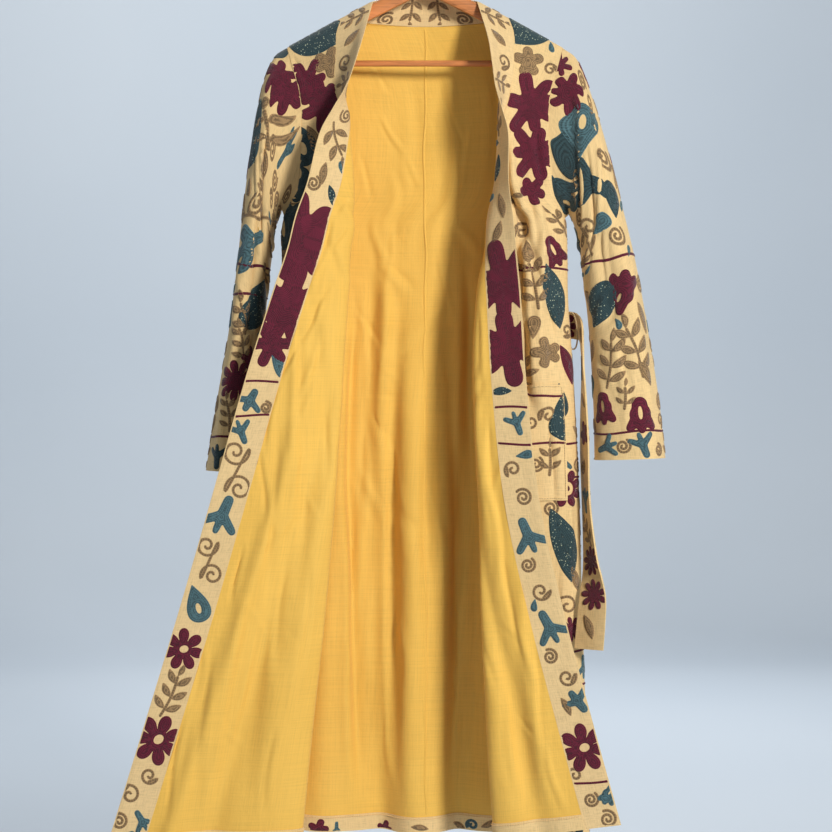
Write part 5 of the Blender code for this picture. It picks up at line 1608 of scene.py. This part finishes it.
class Stitcher:
    """Gathers the embroidery on one face of a surface into one piece."""

    def __init__(self, surface, face, offset, limits=None, edge_trim=EDGE_MARGIN):
        self.surface = surface
        self.face = face
        self.offset = offset
        self.limits = limits
        self.edge_trim = edge_trim
        self.parts = []
        self.taken = []
        self.lines = []

    def frame_at(self, px, py):
        """Flat place at a pixel, and the flat steps that run right and up there."""
        across, down = self.surface.at_pixel(px, py, self.face)
        step = 0.006
        spots = np.array([[across, down], [across + step, down], [across, down + step],
                          [across - step, down], [across, down - step]])
        points, normals = self.surface.places(spots[:, 0], spots[:, 1])
        tangents = np.stack([points[1] - points[3], points[2] - points[4]], axis=1)
        tangents /= np.maximum(np.linalg.norm(tangents, axis=0), 1e-9)
        outward = normals[0] * self.face
        up = np.array([0.0, 0.0, 1.0]) - outward * outward[2]
        up /= np.linalg.norm(up)
        right = np.cross(up, outward)
        up_flat = np.linalg.lstsq(tangents, up, rcond=None)[0]
        right_flat = np.linalg.lstsq(tangents, right, rcond=None)[0]
        return across, down, right_flat, up_flat

    def at(self, kind, px, py, size, turn, color):
        across, down, right, up = self.frame_at(px, py)
        if kind == "line":
            self.line(across, down, color)
            self.lines.append(down)
            return
        self.place(kind, across, down, right, up, size, turn, color)
        self.taken.append((across, down, 0.5 * size))

    def free_of(self, across, down, radius):
        round_way = float(self.surface.width_at(down))
        for other_across, other_down, other_radius in self.taken:
            aside = abs(across - other_across)
            if self.surface.closed:
                aside = min(aside, abs(round_way - aside))
            if math.hypot(aside, down - other_down) < (radius + other_radius) * 0.85:
                return False
        return True

    def lay(self, kind, across, down, size, turn, color):
        """Motif of the plain repeat, left out where one is already placed."""
        if self.free_of(across, down, 0.5 * size):
            self.place(kind, across, down, np.array([1.0, 0.0]), np.array([0.0, -1.0]), size, turn, color)
            self.taken.append((across, down, 0.5 * size))
            return True
        return False

    def place(self, kind, across, down, right, up, size, turn, color):
        for flat, uv, height, faces in motif_mesh(kind, size):
            turned = flat @ turning(turn)
            spots = np.array([across, down]) + turned[:, :1] * right + turned[:, 1:] * up
            self.add(spots, uv, height, faces, color)

    def line(self, across, down, color):
        """Line round or across the cloth, through a flat place."""
        if self.surface.closed:
            path = self.square_cut(across, down)
        else:
            width = float(self.surface.width_at(down))
            path = np.stack([np.linspace(0.0, width, int(width / 0.003) + 2),
                             np.full(int(width / 0.003) + 2, down)], axis=1)
        path[:, 1] += 0.0012 * np.sin(path[:, 0] * 70.0 + down * 40.0)
        self.trail(path, LINE_HALF, color)

    def trail(self, path, half, color):
        flat, uv, height, faces = ribbon_mesh(path, half)
        self.add(flat, uv, height, faces, color)

    def square_cut(self, across, down):
        """Way round a tube through a flat place, square to the tube there."""
        surface = self.surface
        centres = surface.grid.mean(axis=1)
        row = int(np.clip(np.searchsorted(surface.down, down), 6, len(surface.down) - 7))
        axis = centres[row + 6] - centres[row - 6]
        axis /= np.linalg.norm(axis)
        target = float(surface.places(np.array([across]), np.array([down]))[0][0] @ axis)
        level = np.maximum.accumulate(surface.grid @ axis, axis=0)
        columns = surface.grid.shape[1]
        path = []
        for column in range(columns + 1):
            place = float(np.interp(target, level[:, column % columns], surface.down))
            path.append((float(surface.width_at(place)) * column / columns, place))
        return np.array(path)

    def add(self, spots, uv, height, faces, color):
        surface = self.surface
        length = surface.down[-1]
        trim = self.edge_trim
        low_down, high_down = trim, length - trim
        if self.limits:
            low_down, high_down = self.limits
        down = np.clip(spots[:, 1], low_down, high_down)
        outside = np.abs(spots[:, 1] - down)
        across = spots[:, 0]
        if not surface.closed:
            width = np.interp(down, surface.down, surface.width)
            across = np.clip(across, trim, width - trim)
            outside = outside + np.abs(spots[:, 0] - across)
            margin = np.minimum(across - trim, width - trim - across)
            margin = np.minimum(margin, np.minimum(down - low_down, high_down - down))
            height = np.where(margin < STITCH_SHOULDER * 0.5, -STITCH_SINK, height)
        kept = faces[~np.all(outside[faces] > 1e-9, axis=1)]
        if not len(kept):
            return
        points, normals = surface.places(across, down)
        points = points + normals * (self.offset + height * self.face)[:, None]
        used, index = np.unique(kept, return_inverse=True)
        triangles = index.reshape(kept.shape)
        corners = points[used][triangles]
        facing = np.cross(corners[:, 1] - corners[:, 0], corners[:, 2] - corners[:, 0])
        outward = normals[used][triangles].mean(axis=1) * self.face
        flip = np.sum(facing * outward, axis=1) < 0.0
        triangles[flip] = triangles[flip][:, ::-1]
        self.parts.append((points[used], uv[used], triangles, color))

    def finish(self, name, materials):
        """One mesh of all the parts, with a material for each colour."""
        if not self.parts:
            return None
        colors = sorted({part[3] for part in self.parts})
        vertices = np.concatenate([part[0] for part in self.parts])
        uvs = np.concatenate([part[1] for part in self.parts])
        start = 0
        faces = []
        marks = []
        for points, _, triangles, color in self.parts:
            faces.append(triangles + start)
            marks.append(np.full(len(triangles), colors.index(color)))
            start += len(points)
        faces = np.concatenate(faces)
        return new_object(name, vertices, faces.tolist(), [materials[color] for color in colors], uvs,
                          np.concatenate(marks))


# Motifs that show from the front, placed by where they are seen: kind,
# pixel_x, pixel_y, size in mm, turn in degrees, colour.
BAND_RIGHT_MOTIFS = (
    ("fern", 336, 140, 60, -160, "taupe"),
    ("spiral", 314, 182, 26, 0, "taupe"),
    ("leaf", 325, 172, 34, 170, "taupe"),
    ("leaf", 331, 196, 30, 10, "teal"),
    ("bloom_b", 303, 240, 128, 165, "maroon"),
    ("bloom_a", 285, 306, 126, -20, "maroon"),
    ("bloom_c", 271, 342, 70, 30, "maroon"),
    ("comma", 277, 369, 40, 55, "blue"),
    ("line", 262, 383, 0, 0, "maroon"),
    ("prong_wide", 250, 399, 42, 150, "blue"),
    ("spiral", 267, 409, 21, 30, "taupe"),
    ("line", 252, 417, 0, 0, "maroon"),
    ("prong", 240, 431, 38, 200, "blue"),
    ("scroll", 238, 470, 96, 6, "taupe"),
    ("prong", 222, 514, 60, -24, "blue"),
    ("scroll", 210, 561, 78, 190, "taupe"),
    ("drop", 196, 603, 56, 16, "blue"),
    ("daisy", 183, 649, 60, 10, "maroon"),
    ("branch", 170, 692, 72, -24, "taupe"),
    ("daisy", 157, 738, 72, 40, "maroon"),
    ("curl", 150, 777, 30, 120, "taupe"),
    ("curl", 129, 795, 38, -40, "taupe"),
    ("prong", 141, 820, 36, 30, "blue"),
    ("spiral", 119, 822, 28, 60, "taupe"),
)
BAND_LEFT_MOTIFS = (
    ("fern", 497, 120, 50, 12, "taupe"),
    ("leaf", 498, 168, 40, -14, "teal"),
    ("leaf", 502, 205, 38, 12, "taupe"),
    ("leaf", 497, 232, 36, -24, "taupe"),
    ("bloom_a", 503, 283, 116, 12, "maroon"),
    ("bloom_c", 509, 345, 112, 190, "maroon"),
    ("leaf", 501, 392, 32, 96, "teal"),
    ("line", 508, 408, 0, 0, "maroon"),
    ("prong", 516, 425, 38, 200, "blue"),
    ("line", 519, 442, 0, 0, "maroon"),
    ("comma", 525, 456, 26, 120, "blue"),
    ("curl", 512, 468, 30, 20, "taupe"),
    ("spiral", 523, 497, 30, 80, "taupe"),
    ("prong", 528, 534, 56, 24, "blue"),
    ("spiral", 528, 566, 26, 0, "taupe"),
    ("curl", 542, 592, 34, 150, "taupe"),
    ("prong", 549, 628, 54, 30, "blue"),
    ("spiral", 551, 657, 26, 60, "taupe"),
    ("curl", 567, 677, 32, 170, "taupe"),
    ("prong_wide", 579, 702, 44, 40, "blue"),
    ("leaf", 566, 706, 30, 30, "taupe"),
    ("daisy", 584, 748, 70, 24, "maroon"),
    ("line", 594, 782, 0, 0, "maroon"),
    ("tulip", 608, 795, 32, 160, "blue"),
    ("spiral", 592, 799, 26, 0, "taupe"),
    ("spiral", 608, 819, 30, 60, "taupe"),
)
SLEEVE_LEFT_MOTIFS = (
    ("bloom_c", 560, 66, 50, 10, "maroon"),
    ("bloom_b", 568, 92, 62, 190, "maroon"),
    ("bloom_c", 583, 74, 34, 60, "maroon"),
    ("drop", 582, 131, 64, 176, "blue"),
    ("comma", 559, 150, 56, 24, "teal_plain"),
    ("prong_wide", 589, 184, 66, 90, "teal_plain"),
    ("spiral", 603, 158, 30, 0, "taupe"),
    ("drop", 564, 200, 58, 30, "teal_plain"),
    ("drop", 613, 200, 42, 186, "teal_plain"),
    ("curl", 588, 226, 32, 60, "taupe"),
    ("comma", 601, 226, 36, 160, "blue"),
    ("spiral", 616, 234, 30, 0, "taupe"),
    ("comma", 628, 251, 17, 180, "blue"),
    ("line", 600, 262, 0, 0, "maroon"),
    ("tulip", 622, 292, 62, -8, "maroon"),
    ("paisley", 602, 305, 78, 174, "teal"),
    ("leaf", 590, 300, 44, 12, "taupe"),
    ("branch", 632, 350, 84, 20, "taupe"),
    ("branch", 609, 362, 84, -6, "taupe"),
    ("leaf", 641, 318, 46, 24, "taupe"),
    ("leaf", 593, 352, 40, -16, "taupe"),
    ("leaf", 645, 372, 40, 30, "taupe"),
    ("fern", 624, 396, 40, 0, "taupe"),
    ("bell", 603, 409, 54, 4, "maroon"),
    ("bell", 641, 414, 54, 6, "maroon"),
    ("line", 626, 431, 0, 0, "maroon"),
    ("prong", 607, 446, 40, 110, "blue"),
    ("prong", 644, 446, 40, 200, "blue"),
    ("spiral", 624, 447, 26, 0, "taupe"),
    ("spiral", 658, 450, 22, 40, "taupe"),
)
SLEEVE_RIGHT_MOTIFS = (
    ("bloom_c", 279, 74, 70, 160, "maroon"),
    ("bloom_b", 288, 92, 66, 10, "maroon"),
    ("paisley", 284, 52, 50, -30, "teal_plain"),
    ("fern", 266, 126, 56, 8, "taupe"),
    ("leaf", 262, 166, 40, -12, "taupe"),
    ("spiral", 256, 203, 32, 0, "taupe"),
    ("line", 256, 218, 0, 0, "taupe"),
    ("prong_wide", 252, 243, 60, 100, "blue"),
    ("line", 250, 265, 0, 0, "maroon"),
    ("paisley", 255, 302, 82, -16, "teal"),
    ("fern", 243, 318, 54, 12, "taupe"),
    ("branch", 240, 344, 60, 12, "taupe"),
    ("aster", 237, 380, 60, 0, "maroon"),
    ("bloom_c", 250, 362, 46, 0, "maroon"),
    ("branch", 228, 415, 54, 6, "taupe"),
    ("line", 224, 438, 0, 0, "maroon"),
    ("prong", 218, 456, 38, 180, "teal_plain"),
)
FRONT_LEFT_MOTIFS = (
    ("paisley", 518, 30, 110, 118, "teal"),
    ("paisley", 500, 20, 70, 60, "teal"),
    ("clover", 528, 62, 52, 90, "taupe"),
    ("bloom_a", 531, 104, 92, 14, "maroon"),
    ("bloom_b", 535, 154, 84, 200, "maroon"),
    ("clover", 531, 190, 46, -20, "maroon"),
    ("curl", 523, 232, 34, 0, "taupe"),
    ("bell", 553, 250, 50, 30, "maroon"),
    ("lens", 551, 297, 98, 14, "teal"),
    ("branch", 531, 284, 80, 8, "taupe"),
    ("comma", 537, 326, 34, 200, "taupe"),
    ("clover", 547, 354, 50, 180, "taupe"),
    ("comma", 527, 250, 30, 30, "taupe"),
    ("lens", 566, 366, 62, 20, "maroon"),
)
POCKET_MOTIFS = (
    ("line", 541, 397, 0, 0, "maroon"),
    ("curl", 546, 413, 32, 0, "taupe"),
    ("paisley", 564, 416, 76, 10, "teal"),
    ("line", 541, 444, 0, 0, "maroon"),
    ("fern", 548, 462, 48, 0, "taupe"),
    ("spiral", 535, 466, 28, 0, "taupe"),
)
FRONT_LEFT_LOW_MOTIFS = (
    ("ring", 566, 489, 56, 0, "maroon"),
    ("spiral", 551, 508, 28, 0, "taupe"),
    ("lens", 560, 545, 112, 16, "teal"),
    ("curl", 568, 606, 40, 0, "taupe"),
    ("leaf", 573, 578, 40, 20, "taupe"),
)
FRONT_RIGHT_MOTIFS = (
    ("paisley", 322, 32, 104, -66, "teal"),
    ("bloom_b", 306, 84, 74, 30, "maroon"),
    ("bloom_a", 322, 104, 84, 60, "maroon"),
    ("clover", 328, 62, 52, 0, "taupe"),
    ("drop", 299, 142, 76, 16, "teal_plain"),
    ("leaf", 312, 140, 46, 16, "taupe"),
    ("tulip", 290, 178, 74, 190, "teal_plain"),
    ("line", 290, 203, 0, 0, "taupe"),
    ("bell", 281, 226, 78, 190, "teal_plain"),
    ("fern", 280, 262, 54, 0, "taupe"),
)
BELT_MOTIFS = (
    ("aster", 592, 562, 44, 0, "maroon"),
    ("aster", 594, 594, 46, 0, "maroon"),
    ("leaf", 588, 626, 38, 24, "taupe"),
)
HEM_INNER_MOTIFS = (
    ("clover", 319, 829, 34, 0, "maroon"),
    ("prong", 335, 829, 24, 0, "blue"),
    ("leaf", 460, 825, 26, 60, "taupe"),
    ("curl", 474, 825, 20, 0, "blue"),
    ("leaf", 488, 824, 26, -60, "taupe"),
    ("clover", 384, 829, 30, 0, "maroon"),
    ("leaf", 420, 828, 26, 80, "taupe"),
)

# Plain repeat of the sides that the photograph doesn't show.
REPEAT_LENGTH = 0.300
REPEAT_WIDTH = 0.190
BORDER_HEIGHT = 0.048
BORDER_PITCH = 0.058
REPEAT_TOP = 0.020
# Main zone, about the middle of one repeat: kind, across, down, mm, turn, colour.
REPEAT_MOTIFS = (
    ("bloom_a", 0.000, 0.118, 118, 8, "maroon"),
    ("paisley", 0.095, 0.098, 84, 150, "teal"),
    ("branch", 0.062, 0.196, 76, 28, "taupe"),
    ("branch", -0.062, 0.200, 72, -30, "taupe"),
    ("drop", -0.088, 0.088, 48, 196, "blue"),
    ("clover", 0.095, 0.166, 40, 20, "maroon"),
    ("drop", 0.006, 0.218, 52, 4, "teal_plain"),
    ("curl", -0.052, 0.070, 30, 20, "taupe"),
    ("spiral", 0.052, 0.062, 26, 60, "taupe"),
    ("leaf", 0.030, 0.262, 36, 60, "taupe"),
    ("leaf", -0.030, 0.264, 36, -60, "taupe"),
    ("aster", 0.095, 0.248, 38, 0, "maroon"),
    ("comma", -0.095, 0.150, 30, 160, "taupe"),
    ("prong", -0.060, 0.142, 36, 30, "blue"),
)


def lay_repeat(stitcher, start, phase):
    """Cover a panel with the plain repeat, between what is already placed."""
    surface = stitcher.surface
    rows = int(math.ceil((surface.down[-1] - start) / REPEAT_LENGTH)) + 1
    wide = float(surface.width.max())
    for row in range(-1, rows):
        top = start + row * REPEAT_LENGTH
        shift = phase + 0.5 * REPEAT_WIDTH * (row % 2)
        new_lines = [line for line in (top, top + BORDER_HEIGHT)
                     if 0.0 < line < surface.down[-1] and line_free(stitcher, line)]
        for line in new_lines:
            stitcher.line(0.0, line, "maroon")
            stitcher.lines.append(line)
        for index in range(int(wide / BORDER_PITCH) + 2):
            across = index * BORDER_PITCH + 0.3 * shift
            kind, size, color = (("prong", 0.038, "blue"), ("spiral", 0.026, "taupe"))[index % 2]
            turn = 180.0 * (index % 4 // 2)
            lay_inside(stitcher, kind, across, top + 0.5 * BORDER_HEIGHT, size, turn, color)
        for column in range(-1, int(wide / REPEAT_WIDTH) + 2):
            for kind, across, down, size, turn, color in REPEAT_MOTIFS:
                lay_inside(stitcher, kind, across + column * REPEAT_WIDTH + shift, top + REPEAT_TOP + down,
                           0.001 * size, turn + 9.0 * (column % 3), color)


def line_free(stitcher, down):
    near_motif = any(abs(down - other) <= 0.5 * radius for _, other, radius in stitcher.taken)
    return not near_motif and all(abs(down - line) > 0.04 for line in stitcher.lines)


# Small motifs between the large ones, largest first: kind, size, colour.
FILLER_KINDS = (("fern", 0.046, "taupe"), ("spiral", 0.030, "taupe"), ("leaf", 0.034, "taupe"),
                ("curl", 0.026, "taupe"), ("comma", 0.020, "blue"))
FILLER_PITCH = 0.030


def lay_filler(stitcher):
    """Small leaves and curls wherever the cloth is still bare."""
    surface = stitcher.surface
    for row in range(int(surface.down[-1] / FILLER_PITCH)):
        down = (row + 0.5) * FILLER_PITCH
        width = float(surface.width_at(down))
        for column in range(int(width / FILLER_PITCH)):
            number = 7 * row + 13 * column
            across = (column + 0.5 + 0.3 * math.sin(number * 1.7)) * FILLER_PITCH
            place = down + 0.008 * math.sin(number * 2.9)
            for kind, size, color in FILLER_KINDS:
                if min(abs(place - line) for line in stitcher.lines + [-1.0]) < 0.45 * size:
                    continue
                if stitcher.lay(kind, across, place, size, 47.0 * (number % 8), color):
                    break


def lay_inside(stitcher, kind, across, down, size, turn, color):
    surface = stitcher.surface
    if not -0.4 * size < down < surface.down[-1] + 0.4 * size:
        return
    width = surface.width_at(down)
    if surface.closed:
        if across < width:
            stitcher.lay(kind, across, down, size, turn, color)
        return
    if -0.4 * size < across < width + 0.4 * size:
        stitcher.lay(kind, across, down, size, turn, color)


def lay_strip(stitcher, start, end, pitch, kinds, middle):
    """Row of motifs along a narrow strip."""
    count = int((end - start) / pitch)
    for index in range(count):
        kind, size, turn, color = kinds[index % len(kinds)]
        across = middle + 0.006 * math.sin(index * 2.3)
        stitcher.lay(kind, across, start + (index + 0.5) * pitch, size, turn + 11.0 * (index % 3), color)


STRIP_KINDS = (("spiral", 0.026, 0, "taupe"), ("prong", 0.040, 170, "blue"), ("fern", 0.044, 10, "taupe"),
               ("daisy", 0.046, 30, "maroon"), ("curl", 0.030, 60, "taupe"),
               ("drop", 0.040, 10, "teal_plain"), ("leaf", 0.034, 40, "taupe"),
               ("clover", 0.040, 15, "maroon"))
NECK_KINDS = (("fern", 0.046, 90, "taupe"), ("leaf", 0.036, 120, "taupe"), ("curl", 0.032, 60, "taupe"))


def stitch_piece(stitcher, name, materials, carrier):
    """Finish a stitcher's piece and let it go with the cloth that carries it."""
    thing = stitcher.finish(name, materials)
    if thing is None:
        return
    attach(thing, "root")
    CUTS[carrier]["with_pieces"].append(thing)


def place_table(stitcher, table):
    for kind, px, py, size, turn, color in table:
        stitcher.at(kind, px, py, 0.001 * size, turn, color)


# Embroidered panels: surface, how far out its face lies, tables of motifs that
# show, and the start and phase of the plain repeat.
PANELS = (
    ("front_left", OUTER_WALL[1], (FRONT_LEFT_MOTIFS, FRONT_LEFT_LOW_MOTIFS), 0.305, 0.03),
    ("front_right", OUTER_WALL[1], (FRONT_RIGHT_MOTIFS,), 0.305, 0.03),
    ("back", OUTER_WALL[1], (), 0.305, 0.10),
    ("sleeve_left", SLEEVE_WALL[1], (SLEEVE_LEFT_MOTIFS,), 0.300, 0.05),
    ("sleeve_right", SLEEVE_WALL[1], (SLEEVE_RIGHT_MOTIFS,), 0.300, 0.05),
)
BAND_TRIM = 0.0016
NECK_START = 0.004
POCKET_INSET = 0.003
POCKET_POINTS = 50
HEM_INSET = 0.001


def stitch_band(surface, name, table, materials):
    """Embroidery on both faces of one half of the neckband."""
    inner = Stitcher(surface, -1, BAND_WALL[0], edge_trim=BAND_TRIM)
    place_table(inner, table)
    lay_strip(inner, NECK_START, 0.24, 0.034, NECK_KINDS, 0.5 * BAND_WIDTH)
    lay_filler(inner)
    stitch_piece(inner, "embroidery_" + name + "_inside", materials, name + "_cloth")
    outer = Stitcher(surface, 1, BAND_WALL[1], edge_trim=BAND_TRIM)
    lay_strip(outer, NECK_START, 0.30, 0.036, NECK_KINDS, 0.5 * BAND_WIDTH)
    lay_strip(outer, 0.30, float(surface.down[-1]), 0.050, STRIP_KINDS, 0.5 * BAND_WIDTH)
    stitch_piece(outer, "embroidery_" + name, materials, name + "_cloth")


def stitch_pocket(patch, materials):
    """Embroidery of the pocket, and a row of darker stitches along each of its edges, which also stands as
    painted shade along those edges.
    """
    stitcher = Stitcher(patch, 1, POCKET_WALL[1])
    place_table(stitcher, POCKET_MOTIFS)
    lay_filler(stitcher)
    stitch_piece(stitcher, "embroidery_pocket", materials, "pocket_left_cloth")
    sewn = Stitcher(patch, 1, POCKET_WALL[1])
    # A place across below zero is measured from the far edge.
    near, far = POCKET_INSET, -POCKET_INSET
    top, low = POCKET_INSET, float(patch.down[-1]) - POCKET_INSET
    for start, end in (((near, top), (far, top)), ((near, low), (far, low)),
                       ((near, top), (near, low)), ((far, top), (far, low))):
        downs = np.linspace(start[1], end[1], POCKET_POINTS)
        wides = np.array([float(patch.width_at(place)) for place in downs])
        sides = [np.where(value < 0.0, wides + value, value) for value in (start[0], end[0])]
        across = sides[0] + (sides[1] - sides[0]) * np.linspace(0.0, 1.0, POCKET_POINTS)
        # The rows are a darker thread than the cloth: stitching that also serves as painted shade at the
        # pocket's edges.
        sewn.trail(np.stack([across, downs], axis=1), STITCH_ROW_HALF, "shade")
    stitch_piece(sewn, "stitching_pocket", materials, "pocket_left_cloth")


def build_embroidery(surfaces, materials):
    """Embroidery of every piece, in the order of the pieces."""
    for name, offset, tables, start, phase in PANELS:
        stitcher = Stitcher(surfaces[name], 1, offset)
        for table in tables:
            place_table(stitcher, table)
        lay_repeat(stitcher, start, phase)
        lay_filler(stitcher)
        stitch_piece(stitcher, "embroidery_" + name, materials, name + "_cloth")
    for name, table in (("band_left", BAND_LEFT_MOTIFS), ("band_right", BAND_RIGHT_MOTIFS)):
        stitch_band(surfaces[name], name, table, materials)
    belt = surfaces["belt"]
    for face, where in ((1, "outer"), (-1, "inner")):
        stitcher = Stitcher(belt, face, 0.5 * BELT_THICKNESS * face)
        place_table(stitcher, BELT_MOTIFS)
        lay_strip(stitcher, 0.02, float(belt.down[-1]) - 0.04, 0.048, STRIP_KINDS, 0.5 * BELT_WIDTH)
        stitch_piece(stitcher, "embroidery_belt_" + where, materials, "belt_cloth")
    stitch_pocket(surfaces["pocket"], materials)
    back = surfaces["back"]
    top = float(np.interp(HEM_ROW, FINE_ROWS, back.down)) + HEM_INSET
    inner = Stitcher(back, -1, HEM_WALL[0], limits=(top, float(back.down[-1]) - HEM_INSET))
    place_table(inner, HEM_INNER_MOTIFS)
    stitch_piece(inner, "embroidery_hem_back", materials, "hem_back_cloth")


def build_seams(surfaces, materials):
    """Seam down the middle of the lining, and the rows that hold hem and facing."""
    back = surfaces["back"]
    down = np.linspace(0.003, float(np.interp(HEM_ROW, FINE_ROWS, back.down)) - 0.002, 300)
    across = np.array([0.5 * float(back.width_at(place)) for place in down])
    across = across + 0.0012 * np.sin(down * 23.0) + 0.0008 * np.sin(down * 61.0)
    seam = Stitcher(back, -1, LINING_WALL[0])
    seam.trail(np.stack([across, down], axis=1), WELT_HALF, "lining")
    stitch_piece(seam, "seam_back_lining", materials, "back_lining_cloth")
    for name in ("back", "front_left", "front_right"):
        surface = surfaces[name]
        row = float(np.interp(HEM_ROW, FINE_ROWS, surface.down))
        rows = Stitcher(surface, -1, HEM_WALL[0])
        wide = float(surface.width_at(row + 0.004))
        places = np.linspace(0.002, wide - 0.002, int(wide / 0.004))
        rows.trail(np.stack([places, np.full(len(places), row + 0.003)], axis=1), STITCH_ROW_HALF, "cream")
        stitch_piece(rows, "stitching_hem_" + name, materials,
                     "hem_" + name.replace("front_", "") + "_cloth")


# Stage: floor height, and how far the floor, its bend and the backdrop reach.
FLOOR_Z = -1.56
FLOOR_REACH = 4.0
BACKDROP_Y = 4.6
BACKDROP_BEND = 1.2
BACKDROP_HEIGHT = 5.0
STAGE_HALF_WIDTH = 7.0
SKY = (0.86, 0.91, 0.98, 1.0)
SKY_STRENGTH = 0.22
# Lights: name, place, target, size, watts, colour.
LIGHTS = (
    ("window", (1.75, -2.85, 0.45), (0.0, 0.0, -0.7), (0.5, 0.8), 111.0, (1.0, 0.98, 0.94)),
    ("fill", (-2.4, -2.6, 0.2), (0.0, 0.0, -0.7), (2.4, 2.4), 5.0, (0.93, 0.97, 1.0)),
    ("back_fill", (0.6, 2.9, 0.6), (0.0, 0.0, -0.7), (2.4, 2.0), 26.0, (0.96, 0.98, 1.0)),
    ("wall_wash", (-0.6, 0.9, 2.4), (-0.6, 4.4, 0.0), (3.0, 1.0), 112.0, (1.0, 0.99, 0.95)),
)


def make_stage():
    """Plain pale floor that curves up into a far backdrop, and a soft sky."""
    bend_start = BACKDROP_Y - BACKDROP_BEND
    profile = [(-FLOOR_REACH, FLOOR_Z), (bend_start, FLOOR_Z)]
    for step in range(1, 9):
        angle = 0.5 * math.pi * step / 8
        profile.append((bend_start + BACKDROP_BEND * math.sin(angle),
                        FLOOR_Z + BACKDROP_BEND - BACKDROP_BEND * math.cos(angle)))
    profile.append((BACKDROP_Y, FLOOR_Z + BACKDROP_HEIGHT))
    vertices = []
    for x in (-STAGE_HALF_WIDTH, STAGE_HALF_WIDTH):
        vertices += [(x, y, z) for y, z in profile]
    count = len(profile)
    faces = [(i, i + 1, count + i + 1, count + i) for i in range(count - 1)]
    shader = Shader("stage_paint", 0.9, specular=0.2)
    cloud = shader.noise(shader.flat_coordinates((0.6, 0.6, 0.6), "Object"), 1.0, 2.0)
    shader.color(shader.ramp(cloud, ((0.3, linear(STAGE_COLORS[0])), (0.7, linear(STAGE_COLORS[1])))))
    stage = new_object("stage", vertices, faces, [shader.material])
    world = bpy.data.worlds.new("sky")
    world.use_nodes = True
    background = world.node_tree.nodes["Background"]
    background.inputs["Color"].default_value = SKY
    background.inputs["Strength"].default_value = SKY_STRENGTH
    bpy.context.scene.world = world


def add_light(name, location, target, size, power, color):
    data = bpy.data.lights.new(name, "AREA")
    data.shape = "RECTANGLE"
    data.size, data.size_y = size
    data.energy = power
    data.color = color
    light = bpy.data.objects.new(name, data)
    light.location = location
    light.rotation_euler = (Vector(target) - Vector(location)).to_track_quat("-Z", "Y").to_euler()
    bpy.context.scene.collection.objects.link(light)


def make_lights():
    for light in LIGHTS:
        add_light(*light)
    bpy.context.scene.view_settings.view_transform = "Standard"
    bpy.context.scene.view_settings.look = "None"


def make_camera():
    data = bpy.data.cameras.new("camera")
    data.sensor_width = SENSOR
    data.lens = SENSOR * CAMERA_DISTANCE / (PIXELS * METRES_PER_PIXEL)
    data.clip_start = 0.05
    data.dof.use_dof = False
    camera = bpy.data.objects.new("camera", data)
    camera.location = (CAMERA_X, -CAMERA_DISTANCE, CAMERA_Z)
    camera.rotation_euler = (0.5 * math.pi, 0.0, 0.0)
    bpy.context.scene.collection.objects.link(camera)
    bpy.context.scene.camera = camera


def paint_node(name, material):
    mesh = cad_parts[name].data
    mesh.materials.clear()
    mesh.materials.append(material)


def main():
    make_camera()
    materials = {
        "cotton": cotton_material("cream_cotton", CREAM),
        "band": cotton_material("cream_band", CREAM_BAND),
        "lining": lining_material(),
        "maroon": thread_material("stitch_maroon", MAROON),
        "teal": speckled_material("stitch_teal_speckled", TEAL),
        "teal_plain": thread_material("stitch_teal", TEAL),
        "blue": thread_material("stitch_blue", BLUE),
        "taupe": thread_material("stitch_taupe", TAUPE),
        "cream": thread_material("stitch_cream", CREAM, 0.10),
        # Darker thread of the pocket's edge rows, a stitch row that also serves as painted shade along the
        # pocket's edges.
        "shade": thread_material("stitch_pocket_edge_painted_shade", THREAD, 0.30),
    }
    surfaces = build_cloth(materials)
    surfaces["belt"] = build_belt(surfaces["back"], materials)
    build_embroidery(surfaces, materials)
    build_seams(surfaces, materials)
    for name, material in (("hanger_arms", wood_material()), ("hanger_bar", wood_material()),
                           ("hanger_hook", metal_material()),
                           ("carrier_left", cord_material()), ("carrier_right", cord_material())):
        paint_node(name, material)
    make_stage()
    make_lights()


main()
